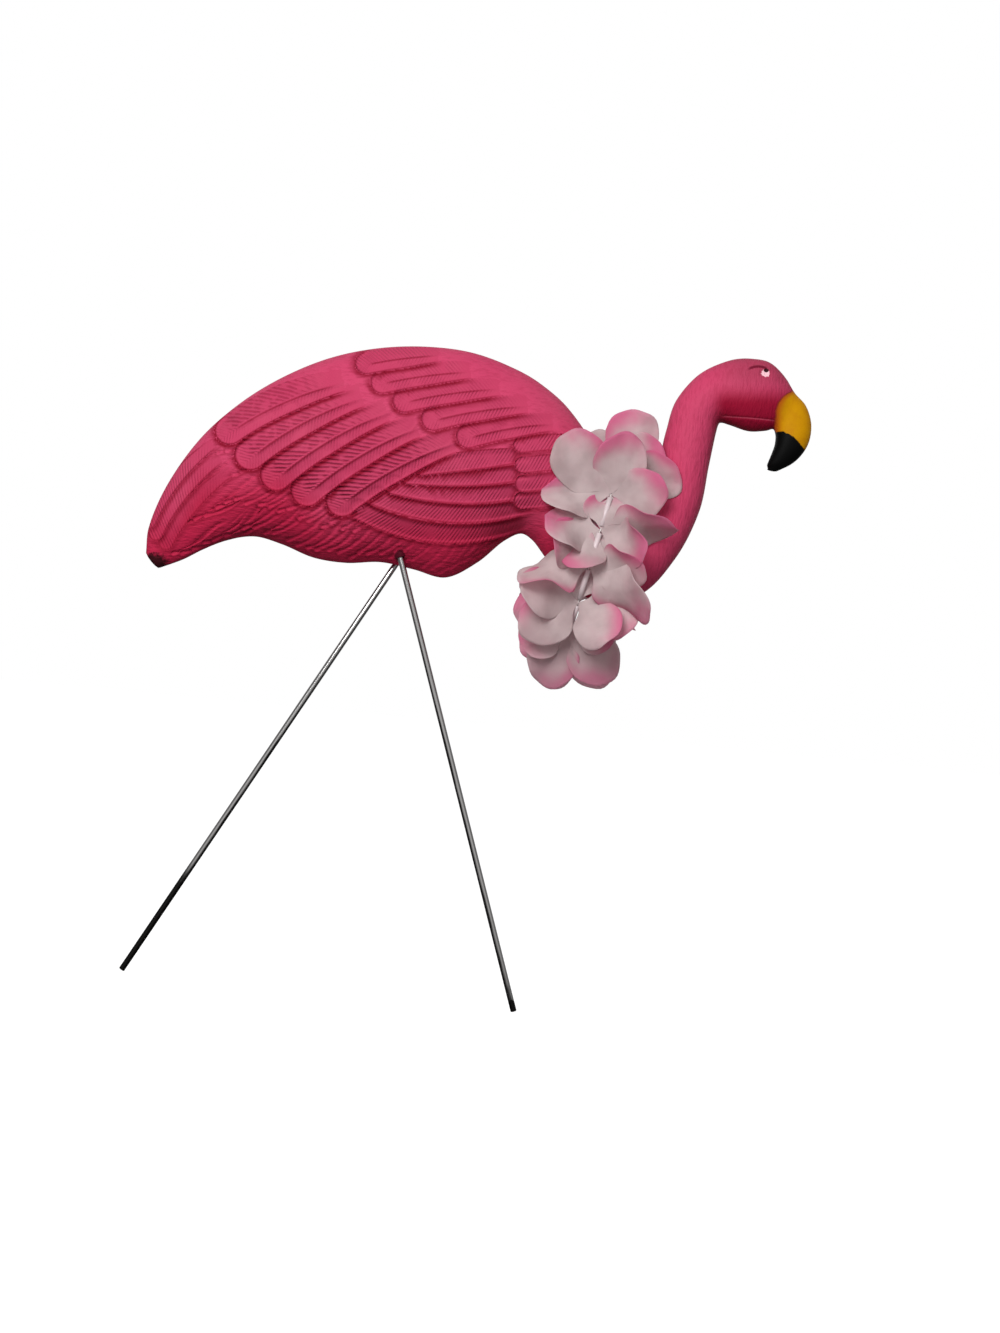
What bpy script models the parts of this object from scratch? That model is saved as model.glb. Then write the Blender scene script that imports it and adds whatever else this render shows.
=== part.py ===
"""Pink flamingo lawn ornament: a blow-moulded bird on two steel rods, with a blossom garland round its neck.

World frame: +X towards the head, -Y towards the near side, +Z up, and the origin on the ground, midway between
the tips of the two rods. The bird itself is drawn in its side plane, in thousandths of its length, from the
point where the two rods enter its belly.
"""
import math

import bmesh
import bpy
import numpy as np
from mathutils import Matrix, Vector
from mathutils.bvhtree import BVHTree

# Bird, in metres
BIRD_LENGTH = 0.686           # tip of the tail to the front of the beak
BODY_WIDTH = 0.116            # across the fullest part of the body
BIRD_PITCH = math.radians(5.5)  # the head's rise once both rods stand at one level
END_DOME = 0.003              # how far the rounded ends of tail and beak stand out

# Legs and their sockets, in metres
ROD_DIAMETER = 0.00635
ROD_LENGTH = 0.559
ROD_CHAMFER = 0.0008
ROD_GRIP = 0.0425             # how much of the rear rod is inside the bird
REAR_LEAN = math.radians(28.6)   # from the vertical, towards the tail
FRONT_LEAN = math.radians(19.5)  # from the vertical, towards the head
SOCKET_SPREAD = 0.032         # between the two sockets, across the seam
SOCKET_CLEARANCE = 0.0004     # all round the rod
SOCKET_END_GAP = 0.001        # beyond the rod's inner end
COLLAR_WALL = 0.0022
COLLAR_HEIGHT = 0.004         # how far the collar stands out of the belly
COLLAR_ROOT = 0.012           # how deep the collar is sunk into the belly

# Garland, in metres
LOOP_TOP_SLACK = 0.026        # from the saddle of the neck up to the thread
LOOP_DROP = 0.052             # from the underside of the neck down to the thread
LOOP_SIDE_GAP = 0.015         # from the sides of the neck out to the thread
LOOP_TILT = math.radians(17)  # the top of the loop leans towards the head
BLOSSOM_COUNT = 12
PETAL_COUNT = 5
PETAL_LENGTH = 0.052          # middle of a blossom to the end of a petal
PETAL_INNER = 0.25            # share of that length on the side facing the neck
PETAL_NOTCH = 0.45            # how deep the notches between petals are cut, as a share
BLOSSOM_HUB = 0.008           # radius of the middle of a blossom, which stays square to the thread
BLOSSOM_CUP = 0.012           # how far the petals' ends droop along the thread
BLOSSOM_LEAN = 0.45           # slope that turns the top and bottom blossoms' faces outwards
BLOSSOM_THICKNESS = 0.0014
BLOSSOM_CLEARANCE = 0.004     # to the bird
SPACER_DIAMETER = 0.0050
SPACER_GAP = 0.0028           # between a spacer's end and the blossom beside it

# Relief, in metres
FEATHER_LIFT = 0.0042
COVERT_LIFT = 0.0034
LOCK_LIFT = 0.0018
EYE_LIFT = 0.0018
SEAM_FADE = 0.014             # the relief dies out this close to the seam

# How finely the skins are divided
BIRD_ROWS = 460
BIRD_COLUMNS = 200
DOME_ROWS = 3
BIRD_KEEP = 0.0385            # share of the bird's faces that the solid keeps
ROD_SIDES = 20
SPACER_SIDES = 8
PETAL_ROWS = 2
PETAL_COLUMNS = 4             # per petal

# Sections of the bird from the tail to the tip of the beak. Each is the point on its back or outer edge (x, z),
# the point on its belly or inner edge (x, z), in thousandths of the bird's length, and its width in per cent of
# the body's.
TAIL_SECTIONS = [
    (-382, 8, -361, -18, 13), (-379, 39, -328, -6, 25), (-364, 80, -298, 9, 37),
    (-337, 128, -262, 23, 50), (-294, 183, -220, 29, 66), (-238, 231, -178, 17, 81),
]
BODY_SECTIONS = [
    (-175, 269, -131, -3, 90), (-106, 297, -82, -11, 96), (-31, 312, -29, -10, 100),
    (41, 314, 20, -21, 100), (104, 306, 68, -33, 97), (161, 286, 116, -10, 93),
    (211, 258, 157, 23, 87), (247, 227, 181, 33, 81), (274, 192, 197, 24, 74),
]
NECK_SECTIONS = [
    (297, 147, 220, -6, 66), (319, 105, 255, -45, 60), (345, 77, 306, -71, 54),
    (363, 72, 364, -56, 50), (375, 86, 412, -5, 47), (382, 111, 448, 65, 46),
    (390, 147, 463, 135, 44), (399, 189, 474, 186, 44),
]
HEAD_SECTIONS = [
    (414, 234, 478, 198, 44), (445, 270, 483, 200, 46), (486, 291, 496, 196, 49),
    (528, 296, 525, 187, 50), (558, 288, 549, 188, 43),
]
BEAK_SECTIONS = [
    (579, 266, 560, 190, 34), (591, 246, 563, 182, 28), (609, 225, 562, 168, 26),
    (617, 195, 558, 156, 25), (609, 161, 553, 144, 21), (588, 138, 550, 136, 15),
    (568, 128, 551, 132, 9),
]

# Rows of feathers, in the same thousandths: three tips and three roots, through which the row curves, the number
# of feathers, half the width of one, and how far its middle bows to its upper side as a share of its length
SECONDARIES = dict(tips=[(-50, 66), (-13, 106), (18, 142)], roots=[(222, 70), (226, 112), (224, 158)],
                   count=6, half_width=14, bow=-0.10)
SCALLOPS = dict(tips=[(168, 78), (171, 122), (170, 166)], roots=[(275, 88), (290, 130), (285, 172)],
                count=4, half_width=16, bow=0.0)
PRIMARIES = dict(tips=[(-84, 66), (-180, 104), (-265, 168)], roots=[(96, 172), (-2, 218), (-66, 262)],
                 count=5, half_width=25, bow=0.07)
COVERTS = dict(tips=[(100, 176), (-8, 232), (-56, 286)], roots=[(240, 196), (155, 250), (62, 300)],
               count=5, half_width=19, bow=0.06)
TAIL_FEATHERS = dict(tips=[(-350, 6), (-362, 20), (-372, 40)], roots=[(-238, 140), (-248, 172), (-236, 206)],
                     count=3, half_width=24, bow=0.08)
EYE = (545, 277)
EYE_RADIUS = 7
RIM_SOFTNESS = 0.18           # share of a feather's half width over which its rim drops
UPPER_EDGE_RISE = 0.25        # height of a feather's tucked-in upper edge, as a share of its lift
ROOT_WIDTH = 0.72             # width at a feather's root, as a share of its full width
ROOT_FADE = 0.25              # share of a feather's length over which it rises from the skin
UNDERLAY = 0.35               # share of the relief below that shows through a feather
SHAFT_RISE = 0.12
SHAFT_WIDTH = 0.09            # half the shaft's width, as a share of the feather's half width
TIP_START = 0.9               # share of a feather's length at which its round tip begins
KEEL = 0.40                   # how much the belly's section narrows to a keel
LOCK_SPACING = 15
LOCK_SLOPE = math.radians(35)

SADDLE = 1                    # the neck section on which the garland hangs
LEGS = (("rear", REAR_LEAN, 1), ("front", -FRONT_LEAN, -1))
UNIT = BIRD_LENGTH / 1000
# Ground to the mouths of the leg sockets: what the rear rod leaves outside its socket, stood on its lower rim
BELLY_HEIGHT = (ROD_LENGTH - ROD_GRIP) * math.cos(REAR_LEAN) + ROD_DIAMETER / 2 * math.sin(REAR_LEAN)
MERGE = 1e-5


def smooth(value):
    """Ease from 0 to 1 as the value goes from 0 to 1, and hold beyond."""
    held = np.clip(value, 0, 1)
    return held * held * (3 - 2 * held)


def curve_through(rows, samples):
    """Points on a smooth curve through the rows, evenly spaced along it."""
    rows = np.array(rows, float)
    steps = np.hypot(*np.diff(rows[:, 0:2], axis=0).T) + np.hypot(*np.diff(rows[:, 2:4], axis=0).T)
    knots = np.concatenate([[0], np.cumsum(steps)])
    slopes = np.gradient(rows, knots, axis=0)
    at = np.linspace(0, knots[-1], samples)
    left = np.clip(np.searchsorted(knots, at, side="right") - 1, 0, len(knots) - 2)
    gap = (knots[left + 1] - knots[left])[:, None]
    t = (at - knots[left])[:, None] / gap
    return ((2 * t**3 - 3 * t**2 + 1) * rows[left] + (t**3 - 2 * t**2 + t) * gap * slopes[left]
            + (3 * t**2 - 2 * t**3) * rows[left + 1] + (t**3 - t**2) * gap * slopes[left + 1])


def end_dome(section, following):
    """Sections that close one end with a dome, from its pole to the last full section."""
    middle = (section[0:2] + section[2:4]) / 2
    inward = (following[0:2] + following[2:4]) / 2 - middle
    outward = -inward / np.hypot(*inward) * END_DOME / UNIT
    rows = []
    for step in range(DOME_ROWS):
        angle = math.pi / 2 * step / DOME_ROWS
        centre = middle + outward * math.cos(angle)
        share = math.sin(angle)
        rows.append(np.concatenate([centre + (section[0:2] - middle) * share,
                                    centre + (section[2:4] - middle) * share, [section[4] * share]]))
    return rows


def bird_sections():
    """Every section of the bird, with its two ends domed."""
    rows = TAIL_SECTIONS + BODY_SECTIONS + NECK_SECTIONS + HEAD_SECTIONS + BEAK_SECTIONS
    smoothed = curve_through(rows, BIRD_ROWS + 1 - 2 * DOME_ROWS)
    tail = end_dome(smoothed[0], smoothed[1])
    beak = end_dome(smoothed[-1], smoothed[-2])
    return np.vstack([tail, smoothed, beak[::-1]])


def row_points(three, count):
    """Points spread along the arc that runs through the three given points."""
    first, middle, last = (np.array(point, float) for point in three)
    spread = np.linspace(0, 1, count)[:, None]
    return (first * (1 - spread) * (1 - 2 * spread) + middle * 4 * spread * (1 - spread)
            + last * spread * (2 * spread - 1))


def lay_feather(x, z, relief, tip, root, half_width, bow, lift):
    """Lay one feather over the relief: it rises to its lower edge and its round tip, and is tucked in above."""
    across = np.array([-(root - tip)[1], (root - tip)[0]])
    knee = (tip + root) / 2 + across * bow
    t = np.linspace(0, 1, 15)[:, None]
    spine = root * (1 - t)**2 + knee * 2 * t * (1 - t) + tip * t**2
    nearest = np.full(x.shape, 1e9)
    along = np.zeros(x.shape)
    side = np.zeros(x.shape)
    for index in range(len(spine) - 1):
        start = spine[index]
        run = spine[index + 1] - start
        dx = x - start[0]
        dz = z - start[1]
        share = np.clip((dx * run[0] + dz * run[1]) / (run @ run), 0, 1)
        distance = np.hypot(dx - share * run[0], dz - share * run[1])
        closer = distance < nearest
        nearest = np.where(closer, distance, nearest)
        along = np.where(closer, (index + share) / (len(spine) - 1), along)
        side = np.where(closer, np.sign(run[0] * dz - run[1] * dx), side)
    width = half_width * (ROOT_WIDTH + (1 - ROOT_WIDTH) * smooth(along / 0.6))
    inside = nearest < width
    towards_edge = 0.5 + 0.5 * side * nearest / width
    rise = np.maximum(UPPER_EDGE_RISE + (1 - UPPER_EDGE_RISE) * towards_edge,
                      smooth((along - TIP_START) / (1 - TIP_START)))
    rim = smooth((1 - nearest / width) / RIM_SOFTNESS)
    shaft = SHAFT_RISE * np.exp(-(nearest / (SHAFT_WIDTH * width))**2)
    laid = UNDERLAY * relief + lift * (rise * rim + shaft)
    fade = np.where(inside, smooth(along / ROOT_FADE), 0)
    return relief * (1 - fade) + laid * fade


def lay_row(x, z, relief, row, lift):
    """Lay a row of feathers, the lowest first, so that each upper one covers the one below it."""
    tips = row_points(row["tips"], row["count"])
    roots = row_points(row["roots"], row["count"])
    for tip, root in zip(tips, roots):
        relief = lay_feather(x, z, relief, tip, root, row["half_width"], row["bow"], lift)
    return relief


def plumage(x, z):
    """Height of the moulded relief over the side of the bird, in metres, at drawing points (x, z)."""
    belly = smooth((x + 330) / 60) * smooth((200 - x) / 60)
    wave = (z * math.cos(LOCK_SLOPE) - x * math.sin(LOCK_SLOPE)) / LOCK_SPACING
    sway = 0.9 * np.sin(x / 21 + z / 34)
    relief = LOCK_LIFT * belly * (0.5 + 0.5 * np.cos(2 * math.pi * wave + sway))
    relief = lay_row(x, z, relief, TAIL_FEATHERS, FEATHER_LIFT * 0.7)
    relief = lay_row(x, z, relief, SECONDARIES, COVERT_LIFT)
    relief = lay_row(x, z, relief, SCALLOPS, COVERT_LIFT)
    relief = lay_row(x, z, relief, PRIMARIES, FEATHER_LIFT)
    relief = lay_row(x, z, relief, COVERTS, COVERT_LIFT)
    eye = np.hypot(x - EYE[0], z - EYE[1]) / EYE_RADIUS
    return relief + EYE_LIFT * smooth(1.6 - eye)


def bird_surface():
    """The bird's skin as a grid of points in metres, in its own drawing frame: rows along it, columns round it."""
    sections = bird_sections()
    turn = np.linspace(0, 2 * math.pi, BIRD_COLUMNS + 1)
    upright = np.cos(turn)
    sideways = np.sin(turn)
    middle = (sections[:, None, 0:2] + sections[:, None, 2:4]) / 2
    half = (sections[:, None, 0:2] - sections[:, None, 2:4]) / 2
    share = sections[:, 4:5] / 100
    keel = 1 + KEEL * smooth((share - 0.5) / 0.3) * np.clip(-upright, 0, 1)
    plane = (middle + half * upright[None, :, None]) * UNIT
    width = BODY_WIDTH / 2 * share * np.sign(sideways) * np.abs(sideways)**keel
    skin = np.stack([plane[..., 0], width, plane[..., 1]], axis=2)
    along = np.gradient(skin, axis=0)
    around = np.roll(skin[:, :-1], -1, axis=1) - np.roll(skin[:, :-1], 1, axis=1)
    around = np.concatenate([around, around[:, :1]], axis=1)
    normal = np.cross(around, along)
    normal /= np.maximum(np.linalg.norm(normal, axis=2, keepdims=True), 1e-12)
    height = plumage(skin[..., 0] / UNIT, skin[..., 2] / UNIT) * smooth(np.abs(skin[..., 1]) / SEAM_FADE)
    height[:DOME_ROWS] = 0
    height[-DOME_ROWS:] = 0
    return skin + normal * height[..., None]


def to_world():
    """From the bird's drawing frame to the world: pitched, and lifted so that both rods reach the ground."""
    forward = (math.tan(REAR_LEAN) - math.tan(FRONT_LEAN)) * BELLY_HEIGHT / 2
    return Matrix.Translation((forward, 0, BELLY_HEIGHT)) @ Matrix.Rotation(-BIRD_PITCH, 4, "Y")


def material(name, color, roughness, metallic=0.0):
    """A plain Principled material."""
    made = bpy.data.materials.new(name)
    made.use_nodes = True
    shader = made.node_tree.nodes["Principled BSDF"]
    shader.inputs["Base Color"].default_value = (*color, 1)
    shader.inputs["Roughness"].default_value = roughness
    shader.inputs["Metallic"].default_value = metallic
    return made


def add_object(name, bm, finish=None):
    """Turn a bmesh into a named, smooth-shaded object."""
    mesh = bpy.data.meshes.new(name)
    bm.to_mesh(mesh)
    bm.free()
    mesh.shade_smooth()
    mesh.set_sharp_from_angle(angle=math.radians(40))
    if finish:
        mesh.materials.append(finish)
    made = bpy.data.objects.new(name, mesh)
    bpy.context.scene.collection.objects.link(made)
    return made


def closed_skin(points):
    """A closed skin from a grid of points whose last column meets the first and whose end rows are each a pole."""
    rows = points.shape[0] - 1
    columns = points.shape[1] - 1
    bm = bmesh.new()
    bmesh.ops.create_grid(bm, x_segments=rows, y_segments=columns, size=1)
    for vert in bm.verts:
        row = round((vert.co.x + 1) / 2 * rows)
        column = round((vert.co.y + 1) / 2 * columns)
        vert.co = points[row, column]
    bmesh.ops.remove_doubles(bm, verts=bm.verts, dist=MERGE)
    bmesh.ops.recalc_face_normals(bm, faces=bm.faces)
    return bm


def round_bar(diameter, length, sides, chamfer=0.0):
    """A round bar along +Z from the origin."""
    bm = bmesh.new()
    bmesh.ops.create_cone(bm, cap_ends=True, segments=sides, radius1=diameter / 2, radius2=diameter / 2,
                          depth=length, matrix=Matrix.Translation((0, 0, length / 2)))
    if chamfer:
        rims = [edge for edge in bm.edges if abs(edge.verts[0].co.z - edge.verts[1].co.z) < length / 2]
        bmesh.ops.bevel(bm, geom=rims, offset=chamfer, segments=1, profile=0.5, affect="EDGES", material=-1)
    return bm


def leg_placement(lean, side):
    """World placement of one leg, whose +Z runs up its axis from its foot, and how much of the leg shows."""
    mouth = to_world().translation + Vector((0, side * SOCKET_SPREAD / 2, 0))
    foot_rise = ROD_DIAMETER / 2 * abs(math.sin(lean))
    visible = (BELLY_HEIGHT - foot_rise) / math.cos(lean)
    turned = Matrix.Translation(mouth) @ Matrix.Rotation(lean, 4, "Y")
    return turned @ Matrix.Translation((0, 0, -visible)), visible


def make_bird(finish):
    """The bird in one piece, with a collar round each leg socket and the sockets cut to fit the rods."""
    bm = closed_skin(bird_surface())
    bmesh.ops.transform(bm, matrix=to_world(), verts=bm.verts)
    surface = BVHTree.FromBMesh(bm)
    bird = add_object("flamingo", bm, finish)
    bird.modifiers.new("fewer faces", "DECIMATE").ratio = BIRD_KEEP

    bore = ROD_DIAMETER + 2 * SOCKET_CLEARANCE
    for name, lean, side in LEGS:
        placement, visible = leg_placement(lean, side)
        collar = round_bar(bore + 2 * COLLAR_WALL, COLLAR_HEIGHT + COLLAR_ROOT, ROD_SIDES)
        collar_place = placement @ Matrix.Translation((0, 0, visible - COLLAR_HEIGHT))
        bmesh.ops.transform(collar, matrix=collar_place, verts=collar.verts)
        lead_in = 3 * COLLAR_HEIGHT
        socket = round_bar(bore, lead_in + ROD_LENGTH - visible + SOCKET_END_GAP, ROD_SIDES)
        socket_place = placement @ Matrix.Translation((0, 0, visible - lead_in))
        bmesh.ops.transform(socket, matrix=socket_place, verts=socket.verts)
        for word, operation, shape in (("collar", "UNION", collar), ("socket", "DIFFERENCE", socket)):
            helper = add_object(f"{word}_{name}", shape)
            helper.hide_render = True
            helper.display_type = "WIRE"
            step = bird.modifiers.new(f"{word} {name}", "BOOLEAN")
            step.operation = operation
            step.object = helper
    return surface


def make_legs(finish):
    """The two rods, of one length, each with its foot on the ground and its upper end in its socket."""
    for name, lean, side in LEGS:
        placement, _ = leg_placement(lean, side)
        leg = add_object(f"leg_{name}", round_bar(ROD_DIAMETER, ROD_LENGTH, ROD_SIDES, ROD_CHAMFER), finish)
        leg.matrix_world = placement


def garland_loop():
    """The thread's loop in the bird's drawing frame: its centre, its upward direction, and its two half sizes."""
    back_x, back_z, breast_x, breast_z, share = NECK_SECTIONS[SADDLE]
    neck_height = math.hypot(back_x - breast_x, back_z - breast_z) * UNIT
    up = Vector((math.sin(LOOP_TILT), 0, math.cos(LOOP_TILT)))
    half_height = (neck_height + LOOP_TOP_SLACK + LOOP_DROP) / 2
    centre = Vector((back_x * UNIT, 0, back_z * UNIT)) + up * (LOOP_TOP_SLACK - half_height)
    return centre, up, half_height, BODY_WIDTH / 2 * share / 100 + LOOP_SIDE_GAP


def garland_turns():
    """Angles round the loop at which the blossoms sit, the same length of thread apart."""
    _, _, half_height, half_width = garland_loop()
    turn = np.linspace(0, 2 * math.pi, 721)
    steps = np.hypot(np.diff(np.cos(turn)) * half_height, np.diff(np.sin(turn)) * half_width)
    length = np.concatenate([[0], np.cumsum(steps)])
    stops = (np.arange(BLOSSOM_COUNT) + 0.5) / BLOSSOM_COUNT * length[-1]
    return np.interp(stops, length, turn)


def thread_frame(turn):
    """World placement at an angle round the loop: +Z along the thread, and +X away from the neck."""
    centre, up, half_height, half_width = garland_loop()
    near = Vector((0, -1, 0))
    place = centre + up * math.cos(turn) * half_height + near * math.sin(turn) * half_width
    thread = (near * math.cos(turn) * half_width - up * math.sin(turn) * half_height).normalized()
    outward = near.cross(up).cross(thread)
    if outward.dot(place - centre) < 0:
        outward.negate()
    frame = Matrix((outward, thread.cross(outward), thread)).transposed().to_4x4()
    frame.translation = place
    return to_world() @ frame


def petal_lift(turn, angle, radius):
    """Height of a blossom's cloth along the thread: its petals droop, and its face leans outwards."""
    droop = BLOSSOM_CUP * (radius / PETAL_LENGTH)**2 * (1 if math.sin(turn) > 0 else -1)
    free = smooth((radius - BLOSSOM_HUB) / BLOSSOM_HUB)
    return droop - BLOSSOM_LEAN * math.cos(turn) * radius * np.cos(angle) * free


def free_reach(bird, frame, turn, angle, length, steps=26):
    """How far a petal can run from the thread before it comes too close to the bird."""
    for step in range(1, steps + 1):
        radius = length * step / steps
        lift = petal_lift(turn, angle, radius)
        nearest = bird.find_nearest(frame @ Vector((radius * math.cos(angle), radius * math.sin(angle), lift)))
        if nearest[3] < BLOSSOM_CLEARANCE:
            return length * (step - 1) / steps
    return length


def make_blossom(name, loop_turn, bird, finish):
    """A blossom of thin cloth threaded at its middle, its petals cut short where the bird is in their way."""
    frame = thread_frame(loop_turn)
    columns = PETAL_COUNT * PETAL_COLUMNS
    turn = np.linspace(0, 2 * math.pi, columns + 1)
    inward = smooth((0.1 - np.cos(turn)) / 0.8)
    petal = np.abs(np.sin(turn * PETAL_COUNT / 2 + math.pi / 2))
    reach = PETAL_LENGTH * (1 - (1 - PETAL_INNER) * inward)
    rim = reach * (1 - PETAL_NOTCH * (1 - petal)**1.5)
    rim = np.array([free_reach(bird, frame, loop_turn, angle, length) for angle, length in zip(turn, rim)])
    out = np.linspace(0, 1, PETAL_ROWS + 1)
    shares = np.concatenate([out, out[::-1]])[:, None]
    sides = np.concatenate([np.ones(PETAL_ROWS + 1), -np.ones(PETAL_ROWS + 1)])[:, None]
    lift = petal_lift(loop_turn, turn, shares * rim) + sides * BLOSSOM_THICKNESS / 2
    points = np.stack([shares * rim * np.cos(turn), shares * rim * np.sin(turn), lift], axis=2)
    points[:, -1] = points[:, 0]
    bm = closed_skin(points)
    bmesh.ops.transform(bm, matrix=frame, verts=bm.verts)
    add_object(name, bm, finish)


def make_spacer(name, turn, next_turn, finish):
    """A short tube round the thread, between two blossoms."""
    start = thread_frame(turn).translation
    run = thread_frame(next_turn).translation - start
    gap = BLOSSOM_THICKNESS / 2 + SPACER_GAP
    spacer = add_object(name, round_bar(SPACER_DIAMETER, run.length - 2 * gap, SPACER_SIDES), finish)
    spacer.location = start + run.normalized() * gap
    spacer.rotation_euler = run.to_track_quat("Z", "Y").to_euler()


def make_garland(bird, cloth, tube):
    """All the blossoms round the loop, and a spacer between each and the next."""
    turns = garland_turns()
    for index, turn in enumerate(turns):
        make_blossom(f"lei_blossom_{index + 1:02d}", turn, bird, cloth)
        make_spacer(f"lei_spacer_{index + 1:02d}", turn, turns[(index + 1) % len(turns)], tube)


def main():
    """Clear the scene and build every piece."""
    for old in list(bpy.data.objects):
        bpy.data.objects.remove(old, do_unlink=True)
    bird = make_bird(material("pink plastic", (0.52, 0.055, 0.13), 0.45))
    make_legs(material("polished steel", (0.62, 0.60, 0.58), 0.25, 1.0))
    make_garland(bird, material("blossom cloth", (0.80, 0.62, 0.66), 0.8),
                 material("white plastic", (0.75, 0.70, 0.68), 0.5))


main()
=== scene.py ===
"""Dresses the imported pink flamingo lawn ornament: a moulded bird, steel legs and a garland of cloth.

Everything is in metres, in the frame of the CAD part: +X towards the head, -Y towards the viewer, +Z up,
origin on the ground. The bird is drawn in its side plane, in thousandths of its length, from the mouths of
its sockets.
"""

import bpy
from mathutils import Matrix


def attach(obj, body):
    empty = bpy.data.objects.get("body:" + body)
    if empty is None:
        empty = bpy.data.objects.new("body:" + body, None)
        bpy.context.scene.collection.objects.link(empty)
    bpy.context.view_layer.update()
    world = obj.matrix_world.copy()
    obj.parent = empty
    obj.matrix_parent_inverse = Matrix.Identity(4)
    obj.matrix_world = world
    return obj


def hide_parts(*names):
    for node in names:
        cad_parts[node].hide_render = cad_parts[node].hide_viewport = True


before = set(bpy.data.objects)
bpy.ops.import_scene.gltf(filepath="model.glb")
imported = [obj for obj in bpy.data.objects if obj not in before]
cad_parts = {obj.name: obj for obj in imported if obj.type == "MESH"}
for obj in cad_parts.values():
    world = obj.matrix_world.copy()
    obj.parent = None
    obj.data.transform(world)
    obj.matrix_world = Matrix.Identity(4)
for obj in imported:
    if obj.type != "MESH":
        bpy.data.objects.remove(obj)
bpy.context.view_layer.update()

import math

import bmesh
import bpy
import numpy as np
from mathutils import Matrix, Vector
from mathutils.bvhtree import BVHTree

bl_info = {
    "name": "Pink flamingo lawn ornament",
    "version": (1, 0, 0),
    "blender": (4, 5, 0),
    "location": "3D View > Sidebar > Flamingo",
    "description": "Builds the moulded bird, its steel legs, its blossom garland and a plain studio",
    "category": "Add Mesh",
}

# Placement of the bird over the ground, as the CAD part has it
BIRD_PITCH = math.radians(5.5)
ROD_LENGTH = 0.559
ROD_GRIP = 0.0425
ROD_DIAMETER = 0.00635
REAR_LEAN = math.radians(28.6)
FRONT_LEAN = math.radians(19.5)
SOCKET_SPREAD = 0.032
BELLY_HEIGHT = (ROD_LENGTH - ROD_GRIP) * math.cos(REAR_LEAN) + ROD_DIAMETER / 2 * math.sin(REAR_LEAN)
FORWARD = (math.tan(REAR_LEAN) - math.tan(FRONT_LEAN)) * BELLY_HEIGHT / 2
LEGS = (("rear", REAR_LEAN, 1), ("front", -FRONT_LEAN, -1))   # name, lean, side of the seam
BIRD_LENGTH = 0.686
UNIT = BIRD_LENGTH / 1000

# Sections of the bird from the tail to the tip of the beak. Each is the point on its back or outer edge
# (x, z), the point on its belly or inner edge (x, z), in thousandths of the bird's length, and its width in
# per cent of the body's.
SECTIONS = [
    (-382, 8, -361, -18, 13), (-379, 39, -328, -6, 25), (-364, 80, -298, 9, 37),
    (-337, 128, -262, 23, 50), (-294, 183, -220, 29, 66), (-238, 231, -178, 17, 81),
    (-175, 269, -131, -3, 90), (-106, 297, -82, -11, 96), (-31, 312, -29, -10, 100),
    (41, 314, 20, -21, 100), (104, 306, 68, -33, 97), (161, 286, 116, -10, 93),
    (211, 258, 157, 23, 87), (247, 227, 181, 33, 81), (274, 192, 197, 24, 74),
    (297, 147, 220, -6, 66), (319, 105, 255, -45, 60), (345, 77, 306, -71, 54),
    (363, 72, 364, -56, 50), (375, 86, 412, -5, 47), (382, 111, 448, 65, 46),
    (390, 147, 463, 135, 44), (399, 189, 474, 186, 44),
    (414, 234, 478, 198, 44), (445, 270, 483, 200, 46), (486, 291, 496, 196, 49),
    (528, 296, 525, 187, 50), (558, 288, 549, 188, 43),
    (579, 266, 560, 190, 34), (591, 246, 563, 182, 28), (609, 225, 562, 168, 26),
    (617, 195, 558, 156, 25), (609, 161, 553, 144, 21), (588, 138, 550, 136, 15),
    (568, 128, 551, 132, 9),
]
SADDLE = SECTIONS[16]   # the section of the neck on which the garland hangs
NECK_START = 15         # the section at which the body ends
BODY_ROWS = 0.74        # share of the skin's rows that the body gets, as its feathers are the finest form
END_DOME = 0.003
DOME_ROWS = 3
KEEL = 0.40

# Rows of feathers in the same thousandths: three tips and three roots, through which the row curves, the
# number of feathers, half the width of one, how far the middle of the first and of the last bows to its upper
# side as a share of its length, how high it stands as a share of the feather height, where its shaft runs
# between its middle line (0) and its lower edge (1), how round its lower vane is, and how coarse the barbs
# over its shaft are (1 fine, 2 coarse).
FEATHER_ROWS = {
    "tail": dict(tips=[(-350, 20), (-365, 34), (-376, 52)], roots=[(-236, 132), (-252, 152), (-260, 176)],
                 count=3, half_width=12, bow=(0.14, 0.16), lift=0.36, shaft=-0.95, roll=0.1, barbs=1),
    "secondaries": dict(tips=[(-60, 66), (-6, 102), (36, 130)], roots=[(212, 60), (222, 102), (214, 150)],
                        count=5, half_width=15, bow=(-0.24, 0.0), lift=0.70, shaft=-0.95, roll=0.3,
                        barbs=1),
    "scallops": dict(tips=[(182, 80), (184, 118), (181, 162)], roots=[(275, 86), (290, 128), (285, 172)],
                     count=4, half_width=13, bow=(0.0, 0.0), lift=0.42, shaft=-0.95, roll=0.2, barbs=1),
    "primaries": dict(tips=[(-84, 80), (-181, 118), (-252, 188)], roots=[(100, 172), (2, 218), (-62, 262)],
                      count=5, half_width=25, bow=(0.10, 0.11), lift=1.0, shaft=0.22, roll=0.9, barbs=2),
    "coverts": dict(tips=[(103, 174), (9, 227), (-48, 286)], roots=[(242, 196), (165, 248), (70, 300)],
                    count=5, half_width=19, bow=(0.07, 0.05), lift=0.72, shaft=0.15, roll=0.5, barbs=1),
}
LOWER_RIM = 3.2       # how softly a feather's lower edge and its upper edge fall, in thousandths
UPPER_RIM = 9.0
ROOT_WIDTH = 0.72     # width of a feather at its root, as a share of its full width
ROOT_FADE = 0.25      # share of its length over which it rises out of what it lies on
UNDERLAY = 0.35
UPPER_VANE = (0.26, 0.56)
LOWER_VANE = (0.42, 1.0)
SHAFT_CUT = 0.20
SHAFT_HALF = 2.2
TIP_START = 0.90
# How far the painted shadow below a feather's lower edge reaches, in thousandths
GROOVE_SHADE_REACH = 8.5
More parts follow.
